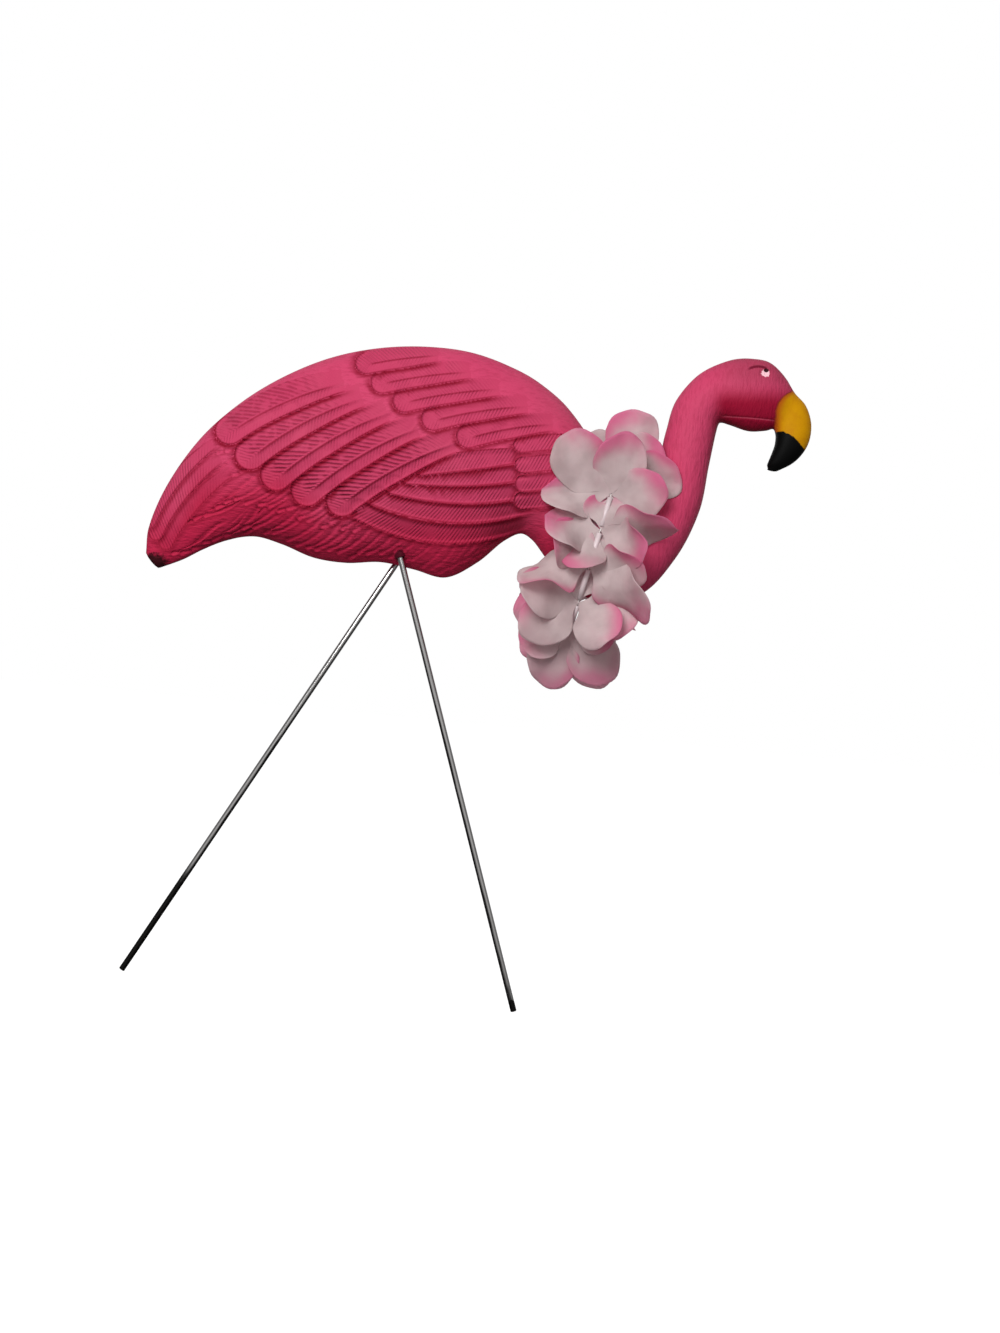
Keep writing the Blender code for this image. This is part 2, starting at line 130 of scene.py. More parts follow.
LOCK_ROW = dict(half_width=7.0, lift=1.0, shaft=-2, roll=0.0, barbs=0)
LOCK_LEVELS = 4       # rows of locks over the belly, from its lowest line up
LOCK_RISE = 42
LOCK_SPACING = 15.5
LOCK_LENGTH = 130
LOCK_SWING = 4.0      # how far a lock swings to either side of its straight run
LOCK_SLOPES = ((-320, -150, 60, 190), (30, 36, 47, 36))   # degrees at places along the belly
LOCK_TAPER = 0.4
# How far the painted shadow below a lock's lower edge reaches
LOCK_SHADE_REACH = 4.5
LOCK_UNDERLAY = 0.1
BELLY_SECTIONS = 14
BARB_UNIT = 10        # the barbs' UV map is in tenths of a metre
COARSE_PITCH = 0.066  # from barb to barb over a wing feather's shaft, and elsewhere on a feather, in its map
FINE_PITCH = 0.037
RING_RADIUS = 11.0    # the low ring moulded round the sockets
RING_HALF_WIDTH = 2.2
RING_RISE = 0.0007
SEAM_FADE = 0.014
SEAM_HEIGHT = 0.0008
SEAM_WIDTH = 0.0012
EYE = (545.2, 271.6)
EYE_RADIUS = 7
EYE_BULGE = 0.0016
PUPIL = (546.6, 275.9)
PUPIL_HALF = (3.9, 2.9)
BROW_TOP = (535, 281.6)   # the brow is a shallow arch from this point down
BROW_ARCH = 0.0183
BROW_ENDS = (516, 552)
BROW_HALF_WIDTH = 2.2
BROW_DEPTH = 0.0011
JAW_LINE = [(484, 208), (500, 206), (530, 204), (557, 202), (563, 194)]
JAW_HALF_WIDTH = 1.8
JAW_RISE = 0.0005

# Rods, sockets and the collars round the sockets
SOCKET_CLEARANCE = 0.0004
SOCKET_END_GAP = 0.001
SOCKET_LEAD = 0.012       # how far below its mouth the tool that hollows a socket begins
COLLAR_WALL = 0.0022
COLLAR_LENGTH = 0.016
COLLAR_LEAD = 0.002
COLLAR_ROUND = 0.0007
ROD_ROUND = 0.0011
ROUND_SIDES = 48
DARK_LENGTHS = {"rear": 0.140, "front": 0.012}   # the dark end of each rod

# The garland, as the CAD part has it
LOOP_TOP_SLACK = 0.026
LOOP_DROP = 0.052
LOOP_SIDE_GAP = 0.015
LOOP_TILT = math.radians(17)
BODY_WIDTH = 0.116
BLOSSOM_COUNT = 12
PETAL_COUNT = 5

PETAL_HALF = math.pi / PETAL_COUNT   # half the angle of a petal's own fifth of the cloth
PETAL_OPEN = math.radians(54)        # half the angle to which it opens outside the hub
PETAL_MIDDLE = 0.54    # a petal's round end: its centre's distance from the hub and its radius, over the
PETAL_ROUND = 0.46     # petal's length
PETAL_STRETCH = 0.7    # how much of a longer petal's extra length doesn't widen it
HUB = 0.010
CLOTH_UNIT = 10        # the cloth's UV map is in tenths of a metre
WEAVE_PITCH = 0.0095   # from thread to thread in that map
CLEARANCE = 0.0016     # between the cloth and the bird
THREAD_RADIUS = 0.0006
TUBE_GAP = 0.0035      # between a tube's end and the blossom's hub
TUBE_WALL = 0.0005
TUBE_SIDES = 28

# Petals of the blossoms on the near side, from the top blossom down. Each petal is the way it points in the
# bird's side view (0 right, 90 up, 180 left), how far it leans out from the bird, how much further its end
# bends, how far it turns about its own middle line (all in degrees), and its length as a share of the usual
# one.
NEAR_BLOSSOMS = [
    [(67, -3, 8, 2, 1.08), (-19, 8, 0, 34, 1.18), (20, 12, 0, 8, 0.86),
     (150, 6, 0, 0, 0.84), (262, -8, 0, 0, 0.7)],
    [(132, 15, -6, -6, 1.40), (74, 24, -24, 8, 1.14), (2, 16, -6, 6, 1.0),
     (180, 8, 4, 46, 1.28), (268, -34, 0, 0, 0.8)],
    [(176, 26, 0, 46, 1.08), (-30, 38, 6, 44, 1.06), (2, 9, 0, 60, 1.34),
     (75, -25, 0, 0, 0.66), (228, 26, 4, 24, 0.92)],
    [(131, 24, 4, 34, 1.0), (-4, 24, 6, 46, 1.04), (-40, 16, 0, 67, 1.46),
     (189, 10, 0, 74, 1.32), (84, -20, 0, 0, 0.66)],
    [(163, 22, 10, 30, 1.16), (207, 8, 0, 4, 1.14), (-16, 2, 4, -4, 1.12),
     (-50, 34, 0, 12, 1.02), (84, -12, 0, 0, 0.8)],
    [(241, -10, -14, 6, 1.08), (-45, -14, -10, -8, 1.20), (184, 2, 4, 10, 0.9),
     (4, -8, 8, 0, 0.86), (272, -72, 0, 0, 0.8)],
]
FAR_TURN = 16          # degrees by which a petal on the far side may differ from its like on the near side

# The studio. The frame's middle is measured from the mouths of the sockets, to the right and up.
FLOOR_RADIUS = 14
KEY_PLACE = (-0.7, -2.8, 1.8)
KEY_TARGET = (0.1, 0, 0.55)
KEY_SIZE = 1.5
SENSOR = 36
FRAME_HEIGHT = 1.373
FRAME_MIDDLE = (0.1025, -0.1138)
SKY = ((0.30, 0.16), (0.49, 1.0), (0.62, 0.90), (0.95, 0.40))   # height, 0 below to 1 above, and brightness

# Colours that the plastic takes in places, among them painted shade and a painted highlight
# Painted shade: the pink's share in each channel low on the belly
UNDERSIDE_SHADE_SHARES = (0.86, 0.20, 0.38)    # of the pink, low on the belly
FADED_SHARES = (1.06, 1.75, 1.25)
CROWN_PINK = (0.32, 0.038, 0.078)
WORN_PINK = (0.60, 0.11, 0.20)
SEAM_PINK = (0.22, 0.085, 0.135)
# Painted highlight along the jaw's ridge
JAW_HIGHLIGHT = (0.60, 0.10, 0.17)
# Painted shade in the brow's groove
BROW_SHADE = (0.13, 0.003, 0.018)
# Painted shade in the sockets' mouths
SOCKET_SHADE = (0.035, 0.003, 0.008)
SMUDGE_BLACK = (0.014, 0.004, 0.005)
EYE_WHITE = (0.84, 0.50, 0.56)
PUPIL_BLACK = (0.03, 0.004, 0.008)
OLD_YELLOW = (0.42, 0.14, 0.002)
EDGE_ORANGE = (0.42, 0.075, 0.006)


def size_setting(name, default, description):
    """A setting in metres."""
    return bpy.props.FloatProperty(name=name, description=description, default=default, unit="LENGTH")


def count_setting(name, default, description):
    """A whole number."""
    return bpy.props.IntProperty(name=name, description=description, default=default)


def colour_setting(name, default, description):
    """A colour."""
    return bpy.props.FloatVectorProperty(name=name, description=description, size=3, subtype="COLOR",
                                         default=default)


class BirdSettings(bpy.types.PropertyGroup):
    """Sizes and colours of the moulded bird."""
    width: size_setting("Body width", BODY_WIDTH, "Across the fullest part of the body")
    feather_height: size_setting("Feather height", 0.0042, "How far a wing feather stands out")
    lock_height: size_setting("Lock height", 0.0017, "How deep the belly's locks are")
    rows: count_setting("Rows", 640, "Divisions along the bird before thinning")
    columns: count_setting("Columns", 400, "Divisions round the bird before thinning")
    triangles: count_setting("Triangles", 188000, "How many triangles the skin keeps")
    pink: colour_setting("Pink", (0.50, 0.045, 0.116), "Colour of the moulded plastic")
    # Painted shade: the colour in the grooves and lines between the feathers
    groove_shade: colour_setting("Groove", (0.22, 0.005, 0.022), "Colour deep between the feathers")
    yellow: colour_setting("Beak yellow", (0.54, 0.25, 0.001), "Paint on the upper beak")
    black: colour_setting("Beak black", (0.002, 0.002, 0.002), "Paint on the tip of the beak")


class LegSettings(bpy.types.PropertyGroup):
    """Sizes and colours of the steel rods."""
    diameter: size_setting("Rod diameter", ROD_DIAMETER, "Thickness of a leg")
    length: size_setting("Rod length", ROD_LENGTH, "Whole length of a leg, with the end inside the bird")
    steel: colour_setting("Steel", (0.45, 0.44, 0.435), "Colour of the bright rod")
    scale: colour_setting("Dark scale", (0.006, 0.0055, 0.005), "Colour of the dark ends")


class GarlandSettings(bpy.types.PropertyGroup):
    """Sizes and colours of the garland."""
    petal: size_setting("Petal length", 0.058, "From the thread to a petal's end")
    cloth: size_setting("Cloth thickness", 0.0003, "Thickness of the blossoms' cloth")
    tube: size_setting("Tube diameter", 0.0055, "Outside of the spacer tubes")
    white: colour_setting("Cloth white", (0.75, 0.655, 0.645), "Undyed cloth")
    dye: colour_setting("Pink dye", (0.75, 0.145, 0.32), "Dye at the petals' ends")


class StudioSettings(bpy.types.PropertyGroup):
    """The plain studio round the ornament."""
    floor: colour_setting("Floor", (0.40, 0.40, 0.40), "Colour of the floor")
    key: bpy.props.FloatProperty(
        name="Key light", description="Power of the soft light at the front, in watts", default=90.0)
    distance: size_setting("Camera distance", 3.0, "From the camera to the bird's plane")


def smooth(value):
    """Ease from 0 to 1 as the value goes from 0 to 1, and hold beyond."""
    held = np.clip(value, 0, 1)
    return held * held * (3 - 2 * held)


def tinted(colour, shares):
    """A colour with each channel multiplied by its share."""
    return tuple(min(1, value * share) for value, share in zip(colour, shares))


def to_world():
    """From the bird's drawing frame, in metres, to the world."""
    return Matrix.Translation((FORWARD, 0, BELLY_HEIGHT)) @ Matrix.Rotation(-BIRD_PITCH, 4, "Y")


class Wire:
    """A shader socket on which Python's arithmetic adds Math nodes."""

    def __init__(self, board, socket):
        self.board = board
        self.socket = socket

    def __add__(self, other):
        return self.board.maths("ADD", self, other)

    def __sub__(self, other):
        return self.board.maths("SUBTRACT", self, other)

    def __rsub__(self, other):
        return self.board.maths("SUBTRACT", other, self)

    def __mul__(self, other):
        return self.board.maths("MULTIPLY", self, other)

    def __truediv__(self, other):
        return self.board.maths("DIVIDE", self, other)

    __radd__ = __add__
    __rmul__ = __mul__


class Board:
    """The node tree of one material."""

    def __init__(self, name):
        self.material = bpy.data.materials.new(name)
        self.material.use_nodes = True
        self.tree = self.material.node_tree
        self.shader = self.tree.nodes["Principled BSDF"]
        self.output = self.tree.nodes["Material Output"]

    def connect(self, value, socket):
        """Link a wire to a socket, or set the socket to a plain value."""
        if isinstance(value, Wire):
            self.tree.links.new(value.socket, socket)
        elif socket.type == "RGBA":
            socket.default_value = (*value[:3], 1)
        else:
            socket.default_value = value

    def node(self, kind, settings=None, inputs=None, output=0):
        """Add a node: settings first, then sockets by name or number. Returns one output as a wire."""
        made = self.tree.nodes.new(kind)
        for key, value in (settings or {}).items():
            setattr(made, key, value)
        for key, value in (inputs or {}).items():
            self.connect(value, made.inputs[key])
        return Wire(self, made.outputs[output])

    def maths(self, operation, *values):
        """One Math node."""
        return self.node("ShaderNodeMath", {"operation": operation}, dict(enumerate(values)))

    def step(self, value, low, high):
        """A soft step from 0 at low to 1 at high."""
        return self.node("ShaderNodeMapRange", {"interpolation_type": "SMOOTHSTEP"},
                         {"Value": value, "From Min": low, "From Max": high})

    def mix(self, factor, first, second):
        """Blend two colours."""
        return self.node("ShaderNodeMix", {"data_type": "RGBA"}, {0: factor, 6: first, 7: second}, output=2)

    def noise(self, place, scale, detail=2.0, roughness=0.5):
        """Noise from 0 to 1."""
        return self.node("ShaderNodeTexNoise", None,
                         {"Vector": place, "Scale": scale, "Detail": detail, "Roughness": roughness})

    def place(self, scale=(1, 1, 1), turn=(0, 0, 0), shift=(0, 0, 0)):
        """Object coordinates, scaled, turned and shifted."""
        coordinates = self.node("ShaderNodeTexCoord", output=3)
        return self.node("ShaderNodeMapping", None,
                         {"Vector": coordinates, "Scale": scale, "Rotation": turn, "Location": shift})

    def drawing(self):
        """The bird's drawing coordinates: x and z in thousandths of its length."""
        corner = (to_world().inverted().translation) / UNIT
        return self.place(scale=(1 / UNIT,) * 3, turn=(0, BIRD_PITCH, 0), shift=tuple(corner))

    def parts(self, vector):
        """The x, y and z of a vector."""
        made = self.tree.nodes.new("ShaderNodeSeparateXYZ")
        self.connect(vector, made.inputs[0])
        return [Wire(self, socket) for socket in made.outputs]

    def join(self, x, y, z=0.0):
        """A vector from three numbers."""
        return self.node("ShaderNodeCombineXYZ", None, {0: x, 1: y, 2: z})

    def ellipse(self, x, z, centre, half):
        """How far a point is from an ellipse's centre, with 1 at its rim. half holds its two half sizes."""
        across = (x - centre[0]) / half[0]
        up = (z - centre[1]) / half[1]
        return self.maths("SQRT", across * across + up * up)

    def attribute(self, name):
        """A number that the mesh carries."""
        return self.node("ShaderNodeAttribute", {"attribute_name": name}, output=2)

    def uv(self, name):
        """One of the mesh's UV maps."""
        return self.node("ShaderNodeUVMap", {"uv_map": name})

    def bump(self, height, distance, normal=None, strength=1.0):
        """A bump of the given depth in metres, over an earlier one."""
        inputs = {"Height": height, "Distance": distance, "Strength": strength}
        if normal is not None:
            inputs["Normal"] = normal
        return self.node("ShaderNodeBump", None, inputs)

    def finish(self, **values):
        """Set or link the shader's own sockets. Underscores stand for spaces."""
        for key, value in values.items():
            self.connect(value, self.shader.inputs[key.replace("_", " ")])
        return self.material


def add_object(name, mesh, material, smooth_angle=None):
    """Show a mesh as a piece that rides on the part."""
    mesh.name = name
    mesh.materials.clear()
    mesh.materials.append(material)
    mesh.shade_smooth()
    if smooth_angle is not None:
        mesh.set_sharp_from_angle(angle=smooth_angle)
    made = bpy.data.objects.new(name, mesh)
    bpy.context.scene.collection.objects.link(made)
    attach(made, "root")
    return made


def mesh_from(bm, name):
    """Turn a bmesh into a mesh."""
    mesh = bpy.data.meshes.new(name)
    bm.to_mesh(mesh)
    bm.free()
    return mesh


def mesh_of(helper):
    """The finished mesh of a helper object, which is then removed."""
    evaluated = helper.evaluated_get(bpy.context.evaluated_depsgraph_get())
    made = bpy.data.meshes.new_from_object(evaluated)
    bpy.data.objects.remove(helper)
    return made


def with_modifiers(mesh, steps):
    """A new mesh: the given one after modifiers, each a type with its settings."""
    helper = bpy.data.objects.new("helper", mesh)
    bpy.context.scene.collection.objects.link(helper)
    for kind, settings in steps:
        modifier = helper.modifiers.new(kind, kind)
        for key, value in settings.items():
            setattr(modifier, key, value)
    return mesh_of(helper)


def thicken(made, thickness, offset):
    """Give a piece's surface a thickness: inwards for an offset of -1, to both sides for 0."""
    wall = made.modifiers.new("wall", "SOLIDIFY")
    wall.thickness = thickness
    wall.offset = offset


def curve_through(rows, samples):
    """Points on a smooth curve through the rows, closer together along the body than along the neck."""
    rows = np.array(rows, float)
    steps = np.hypot(*np.diff(rows[:, 0:2], axis=0).T) + np.hypot(*np.diff(rows[:, 2:4], axis=0).T)
    knots = np.concatenate([[0], np.cumsum(steps)])
    slopes = np.gradient(rows, knots, axis=0)
    at = np.interp(np.linspace(0, 1, samples), [0, BODY_ROWS, 1], [0, knots[NECK_START], knots[-1]])
    left = np.clip(np.searchsorted(knots, at, side="right") - 1, 0, len(knots) - 2)
    gap = (knots[left + 1] - knots[left])[:, None]
    t = (at - knots[left])[:, None] / gap
    return ((2 * t**3 - 3 * t**2 + 1) * rows[left] + (t**3 - 2 * t**2 + t) * gap * slopes[left]
            + (3 * t**2 - 2 * t**3) * rows[left + 1] + (t**3 - t**2) * gap * slopes[left + 1])


def end_dome(section, following):
    """Sections that close one end with a dome, from its pole to the last full section."""
    middle = (section[0:2] + section[2:4]) / 2
    inward = (following[0:2] + following[2:4]) / 2 - middle
    outward = -inward / np.hypot(*inward) * END_DOME / UNIT
    rows = []
    for step in range(DOME_ROWS):
        angle = math.pi / 2 * step / DOME_ROWS
        centre = middle + outward * math.cos(angle)
        share = math.sin(angle)
        rows.append(np.concatenate([centre + (section[0:2] - middle) * share,
                                    centre + (section[2:4] - middle) * share, [section[4] * share]]))
    return rows


def bird_sections(rows):
    """Every section of the bird, with its two ends domed."""
    smoothed = curve_through(SECTIONS, rows + 1 - 2 * DOME_ROWS)
    tail = end_dome(smoothed[0], smoothed[1])
    beak = end_dome(smoothed[-1], smoothed[-2])
    return np.vstack([tail, smoothed, beak[::-1]])


def row_points(three, count):
    """Points spread along the arc that runs through the three given points."""
    first, middle, last = (np.array(point, float) for point in three)
    spread = np.linspace(0, 1, count)[:, None]
    return (first * (1 - spread) * (1 - 2 * spread) + middle * 4 * spread * (1 - spread)
            + last * spread * (2 * spread - 1))


def feathers():
    """Every feather in the order in which they are laid: its middle line from root to tip, and its row."""
    for row in FEATHER_ROWS.values():
        tips = row_points(row["tips"], row["count"])
        roots = row_points(row["roots"], row["count"])
        for tip, root, bow in zip(tips, roots, np.linspace(*row["bow"], row["count"])):
            across = np.array([-(root - tip)[1], (root - tip)[0]])
            knee = (tip + root) / 2 + across * bow
            t = np.linspace(0, 1, 15)[:, None]
            yield root * (1 - t)**2 + knee * 2 * t * (1 - t) + tip * t**2, row


def belly_locks():
    """The belly's flame-like locks, lowest row first: each the wavy middle line from root to tip."""
    random = np.random.default_rng(5)
    lowest = np.array([section[2:4] for section in SECTIONS[:BELLY_SECTIONS]])
    back = np.linspace(1, 0, 8)[:, None]
    for level in range(LOCK_LEVELS):
        for place in np.arange(lowest[0, 0] + 20, lowest[-1, 0], LOCK_SPACING):
            x = place + LOCK_SPACING * (0.5 * (level % 2) + random.uniform(-0.2, 0.2))
            z = np.interp(x, *lowest.T) + 10 + LOCK_RISE * level + random.uniform(-6, 6)
            slope = math.radians(np.interp(x, *LOCK_SLOPES) + random.uniform(-4, 4))
            run = np.array([math.cos(slope), math.sin(slope)])
            aside = np.array([run[1], -run[0]]) * LOCK_SWING * random.uniform(0.6, 1.6)
            length = LOCK_LENGTH * random.uniform(0.75, 1.25)
            yield np.array([x, z]) + run * length * back + aside * np.sin(2 * math.pi * back), LOCK_ROW


def beside_line(x, z, line):
    """How far each point is from the line, the share of the line's pieces passed, and the side it is on."""
    nearest = np.full(x.shape, 1e9)
    along = np.zeros(x.shape)
    side = np.zeros(x.shape)
    for index in range(len(line) - 1):
        start = line[index]
        run = line[index + 1] - start
        dx = x - start[0]
        dz = z - start[1]
        share = np.clip((dx * run[0] + dz * run[1]) / (run @ run), 0, 1)
        distance = np.hypot(dx - share * run[0], dz - share * run[1])
        closer = distance < nearest
        nearest = np.where(closer, distance, nearest)
        along = np.where(closer, (index + share) / (len(line) - 1), along)
        side = np.where(closer, np.sign(run[0] * dz - run[1] * dx), side)
    return nearest, along, side


def feather_width(row, along):
    """Half the width of a feather, or of a lock, at a share of its length."""
    width = row["half_width"] * (ROOT_WIDTH + (1 - ROOT_WIDTH) * smooth(along / 0.6))
    return width * (1 - LOCK_TAPER * smooth((along - 0.45) / 0.55)) if row is LOCK_ROW else width


def vane_height(across, row):
    """Height over a feather's width, from upper edge (-1) to lower one (1): a sunken vane, then a roll."""
    shaft = row["shaft"]
    upper = UPPER_VANE[0] + (UPPER_VANE[1] - UPPER_VANE[0]) * np.clip((across + 1) / (1 + shaft), 0, 1)
    share = np.clip((across - shaft) / (1 - shaft), 0, 1)
    arch = np.sqrt(np.clip(1 - (2 * share - 1)**2, 0, 1))
    lower = LOWER_VANE[0] + (LOWER_VANE[1] - LOWER_VANE[0]) * arch
    plain = UPPER_VANE[0] + (LOWER_VANE[1] - UPPER_VANE[0]) * (across + 1) / 2
    rolled = np.where(across < shaft, upper, lower)
    cut = SHAFT_CUT * np.exp(-((across - shaft) * row["half_width"] / SHAFT_HALF)**2)
    return plain * (1 - row["roll"]) + rolled * row["roll"] - cut


def lay(x, z, rows, height, reach, underlay):
    """Lay feathers or locks one over another.

    Returns how high each point stands, the painted shadow cast on it, and how much of it they cover.
    """
    relief = np.zeros(x.shape)
    groove_shade = np.zeros(x.shape)
    cover = np.zeros(x.shape)
    for line, row in rows:
        near = ((x > line[:, 0].min() - 40) & (x < line[:, 0].max() + 40)
                & (z > line[:, 1].min() - 40) & (z < line[:, 1].max() + 40))
        nearest, along, side = beside_line(x[near], z[near], line)
        width = feather_width(row, along)
        across = np.clip(side * nearest / width, -1, 1)
        end = smooth((along - TIP_START) / (1 - TIP_START))
        dome = 0.55 + 0.45 * np.sqrt(np.clip(1 - (nearest / width)**2, 0, 1))
        rise = vane_height(across, row) * (1 - end) + dome * end
        soft = UPPER_RIM + (LOWER_RIM - UPPER_RIM) * np.maximum(side > 0, end)
        rim = smooth((width - nearest) / soft)
        laid = underlay * relief[near] + height * row["lift"] * rise * rim
        risen = smooth(along / ROOT_FADE)
        fade = np.where(nearest < width, risen, 0)
        relief[near] = relief[near] * (1 - fade) + laid * fade
        cover[near] = np.maximum(cover[near], fade)
        # Painted shadow: each feather darkens what lies just outside its lower edge and its tip
        outside = np.where(nearest >= width, 1 - (nearest - width) / reach, 0)
        lower = np.where(side > 0, 1.0, 0.75 * end)
        cast = smooth(outside * 1.35) * lower * risen * math.sqrt(row["lift"])
        groove_shade[near] = np.maximum(groove_shade[near] * (1 - fade), cast)
    return relief, groove_shade, cover


def plumage(x, z, feather_height, lock_height):
    """How high the moulded relief stands on the side of the bird, and the painted shadow each point takes."""
    locks, lock_groove_shade, _ = lay(x, z, belly_locks(), lock_height, LOCK_SHADE_REACH, LOCK_UNDERLAY)
    wing, wing_groove_shade, cover = lay(x, z, feathers(), feather_height, GROOVE_SHADE_REACH, UNDERLAY)
    bare = (1 - cover) * (1 - 0.55 * smooth((x + 60) / 120)) * smooth((200 - x) / 60)
    return wing + locks * bare, np.maximum(wing_groove_shade, lock_groove_shade * bare * 0.6)


def line_relief(x, z, points, half_width, height):
    """A raised or sunken line through the points."""
    nearest, _, _ = beside_line(x, z, np.array(points, float))
    return height * np.exp(-(nearest / half_width)**2)


def bare_skin(settings):
    """The bird's smooth skin in its drawing frame, in metres: rows of points along it, columns round it."""
    rows = settings.rows // 1
    columns = settings.columns // 1
    sections = bird_sections(rows)
    plain = np.linspace(0, 2 * math.pi, columns + 1)
    half = (sections[:, None, 0:2] - sections[:, None, 2:4]) / 2
    middle = (sections[:, None, 0:2] + sections[:, None, 2:4]) / 2
    share = sections[:, 4:5] / 100
    tall = np.hypot(half[..., 0], half[..., 1]) * UNIT
    wide = settings.width / 2 * share
    squash = (tall - wide) / np.maximum(tall + wide, 1e-6)
    turn = plain + squash * np.sin(2 * plain) / 2
    upright = np.cos(turn)
    sideways = np.sin(turn)
    keel = 1 + KEEL * smooth((share - 0.5) / 0.3) * np.clip(-upright, 0, 1)
    plane = (middle + half * upright[..., None]) * UNIT
    width = wide * np.sign(sideways) * np.abs(sideways)**keel
    return np.stack([plane[..., 0], width, plane[..., 1]], axis=2)


def add_face(relief, x, z):
    """Raise the eyes and the jaw line on the head, and sink the brows."""
    head = smooth((x - 480) / 20)
    eye = np.hypot(x - EYE[0], z - EYE[1]) / EYE_RADIUS
    relief += EYE_BULGE * smooth(1.5 - eye) * head
    brow = z - BROW_TOP[1] + BROW_ARCH * (x - BROW_TOP[0])**2
    relief -= (BROW_DEPTH * np.exp(-(brow / BROW_HALF_WIDTH)**2) * smooth((x - BROW_ENDS[0]) / 6)
               * smooth((BROW_ENDS[1] - x) / 6))
    relief += line_relief(x, z, JAW_LINE, JAW_HALF_WIDTH, JAW_RISE)


def bird_skin(settings):
    """The bird's skin with its moulded relief, as a grid of points like the bare skin's."""
    skin = bare_skin(settings)
    along = np.gradient(skin, axis=0)
    around = np.roll(skin[:, :-1], -1, axis=1) - np.roll(skin[:, :-1], 1, axis=1)
    around = np.concatenate([around, around[:, :1]], axis=1)
    normal = np.cross(around, along)
    normal /= np.maximum(np.linalg.norm(normal, axis=2, keepdims=True), 1e-12)
    x = skin[..., 0] / UNIT
    z = skin[..., 2] / UNIT
    relief, _ = plumage(x, z, settings.feather_height, settings.lock_height)
    add_face(relief, x, z)
    relief += RING_RISE * np.exp(-((np.hypot(x, z) - RING_RADIUS) / RING_HALF_WIDTH)**2)
    height = relief * smooth(np.abs(skin[..., 1]) / SEAM_FADE)
    height += SEAM_HEIGHT * np.exp(-(skin[..., 1] / SEAM_WIDTH)**2)
    height[:DOME_ROWS] = 0
    height[-DOME_ROWS:] = 0
    return skin + normal * height[..., None]


def closed_skin(points):
    """A closed skin from a grid of points. Its last column meets the first, and each end row is a pole."""
    rows = points.shape[0] - 1
    columns = points.shape[1] - 1
    bm = bmesh.new()
    bmesh.ops.create_grid(bm, x_segments=rows, y_segments=columns, size=1)
    for vert in bm.verts:
        row = round((vert.co.x + 1) / 2 * rows)
        column = round((vert.co.y + 1) / 2 * columns)
        vert.co = points[row, column]
    bmesh.ops.remove_doubles(bm, verts=bm.verts, dist=1e-5)
    bmesh.ops.recalc_face_normals(bm, faces=bm.faces)
    return bm


def bar(radius, length, segments, place, bevel=0.0, bevel_steps=3):
    """A round bar along +Z from the origin of a placement, its rims rounded."""
    bm = bmesh.new()
    bmesh.ops.create_cone(bm, cap_ends=True, segments=segments, radius1=radius, radius2=radius,
                          depth=length, matrix=Matrix.Translation((0, 0, length / 2)))
    if bevel:
        rims = [edge for edge in bm.edges if abs(edge.verts[0].co.z - edge.verts[1].co.z) < length / 2]
        bmesh.ops.bevel(bm, geom=rims, offset=bevel, segments=bevel_steps, profile=0.5, affect="EDGES",
                        material=-1)
    bmesh.ops.transform(bm, matrix=place, verts=bm.verts)
    return bm


def leg_placement(lean, side):
    """World placement of a leg, whose +Z runs up its axis from its foot, and how much of the leg shows."""
    mouth = to_world().translation + Vector((0, side * SOCKET_SPREAD / 2, 0))
    foot_rise = ROD_DIAMETER / 2 * abs(math.sin(lean))
    visible = (BELLY_HEIGHT - foot_rise) / math.cos(lean)
    turned = Matrix.Translation(mouth) @ Matrix.Rotation(lean, 4, "Y")
    return turned @ Matrix.Translation((0, 0, -visible)), visible


def helper_object(name, bm):
    """An object that only cuts or joins, and is removed afterwards."""
    made = bpy.data.objects.new(name, mesh_from(bm, name))
    bpy.context.scene.collection.objects.link(made)
    return made


def collars_and_sockets():
    """Solids that raise a collar round each leg's socket, and solids that hollow the sockets."""
    bore = ROD_DIAMETER / 2 + SOCKET_CLEARANCE
    helpers = []
    for name, lean, side in LEGS:
        placement, visible = leg_placement(lean, side)
        collar = bar(bore + COLLAR_WALL, COLLAR_LENGTH, ROUND_SIDES,
                     placement @ Matrix.Translation((0, 0, visible - COLLAR_LEAD)), COLLAR_ROUND)
        socket = bar(bore, SOCKET_LEAD + ROD_LENGTH - visible + SOCKET_END_GAP, ROUND_SIDES,
                     placement @ Matrix.Translation((0, 0, visible - SOCKET_LEAD)))
        helpers.append((helper_object(f"collar_{name}", collar), "UNION"))
        helpers.append((helper_object(f"socket_{name}", socket), "DIFFERENCE"))
    return helpers


def values_of(items, key, width=1, kind=float):
    """One property of all of a mesh's items, in one array."""
    values = np.empty(len(items) * width, kind)
    items.foreach_get(key, values)
    return values


def feather_owners(x, z, laid):
    """The number of the feather that lies uppermost at each point, or -1."""
    owner = np.full(len(x), -1)
    for number, (line, row) in enumerate(laid):
        nearest, along, _ = beside_line(x, z, line)
        owner[(nearest < feather_width(row, along)) & (along > 0.1)] = number
    return owner


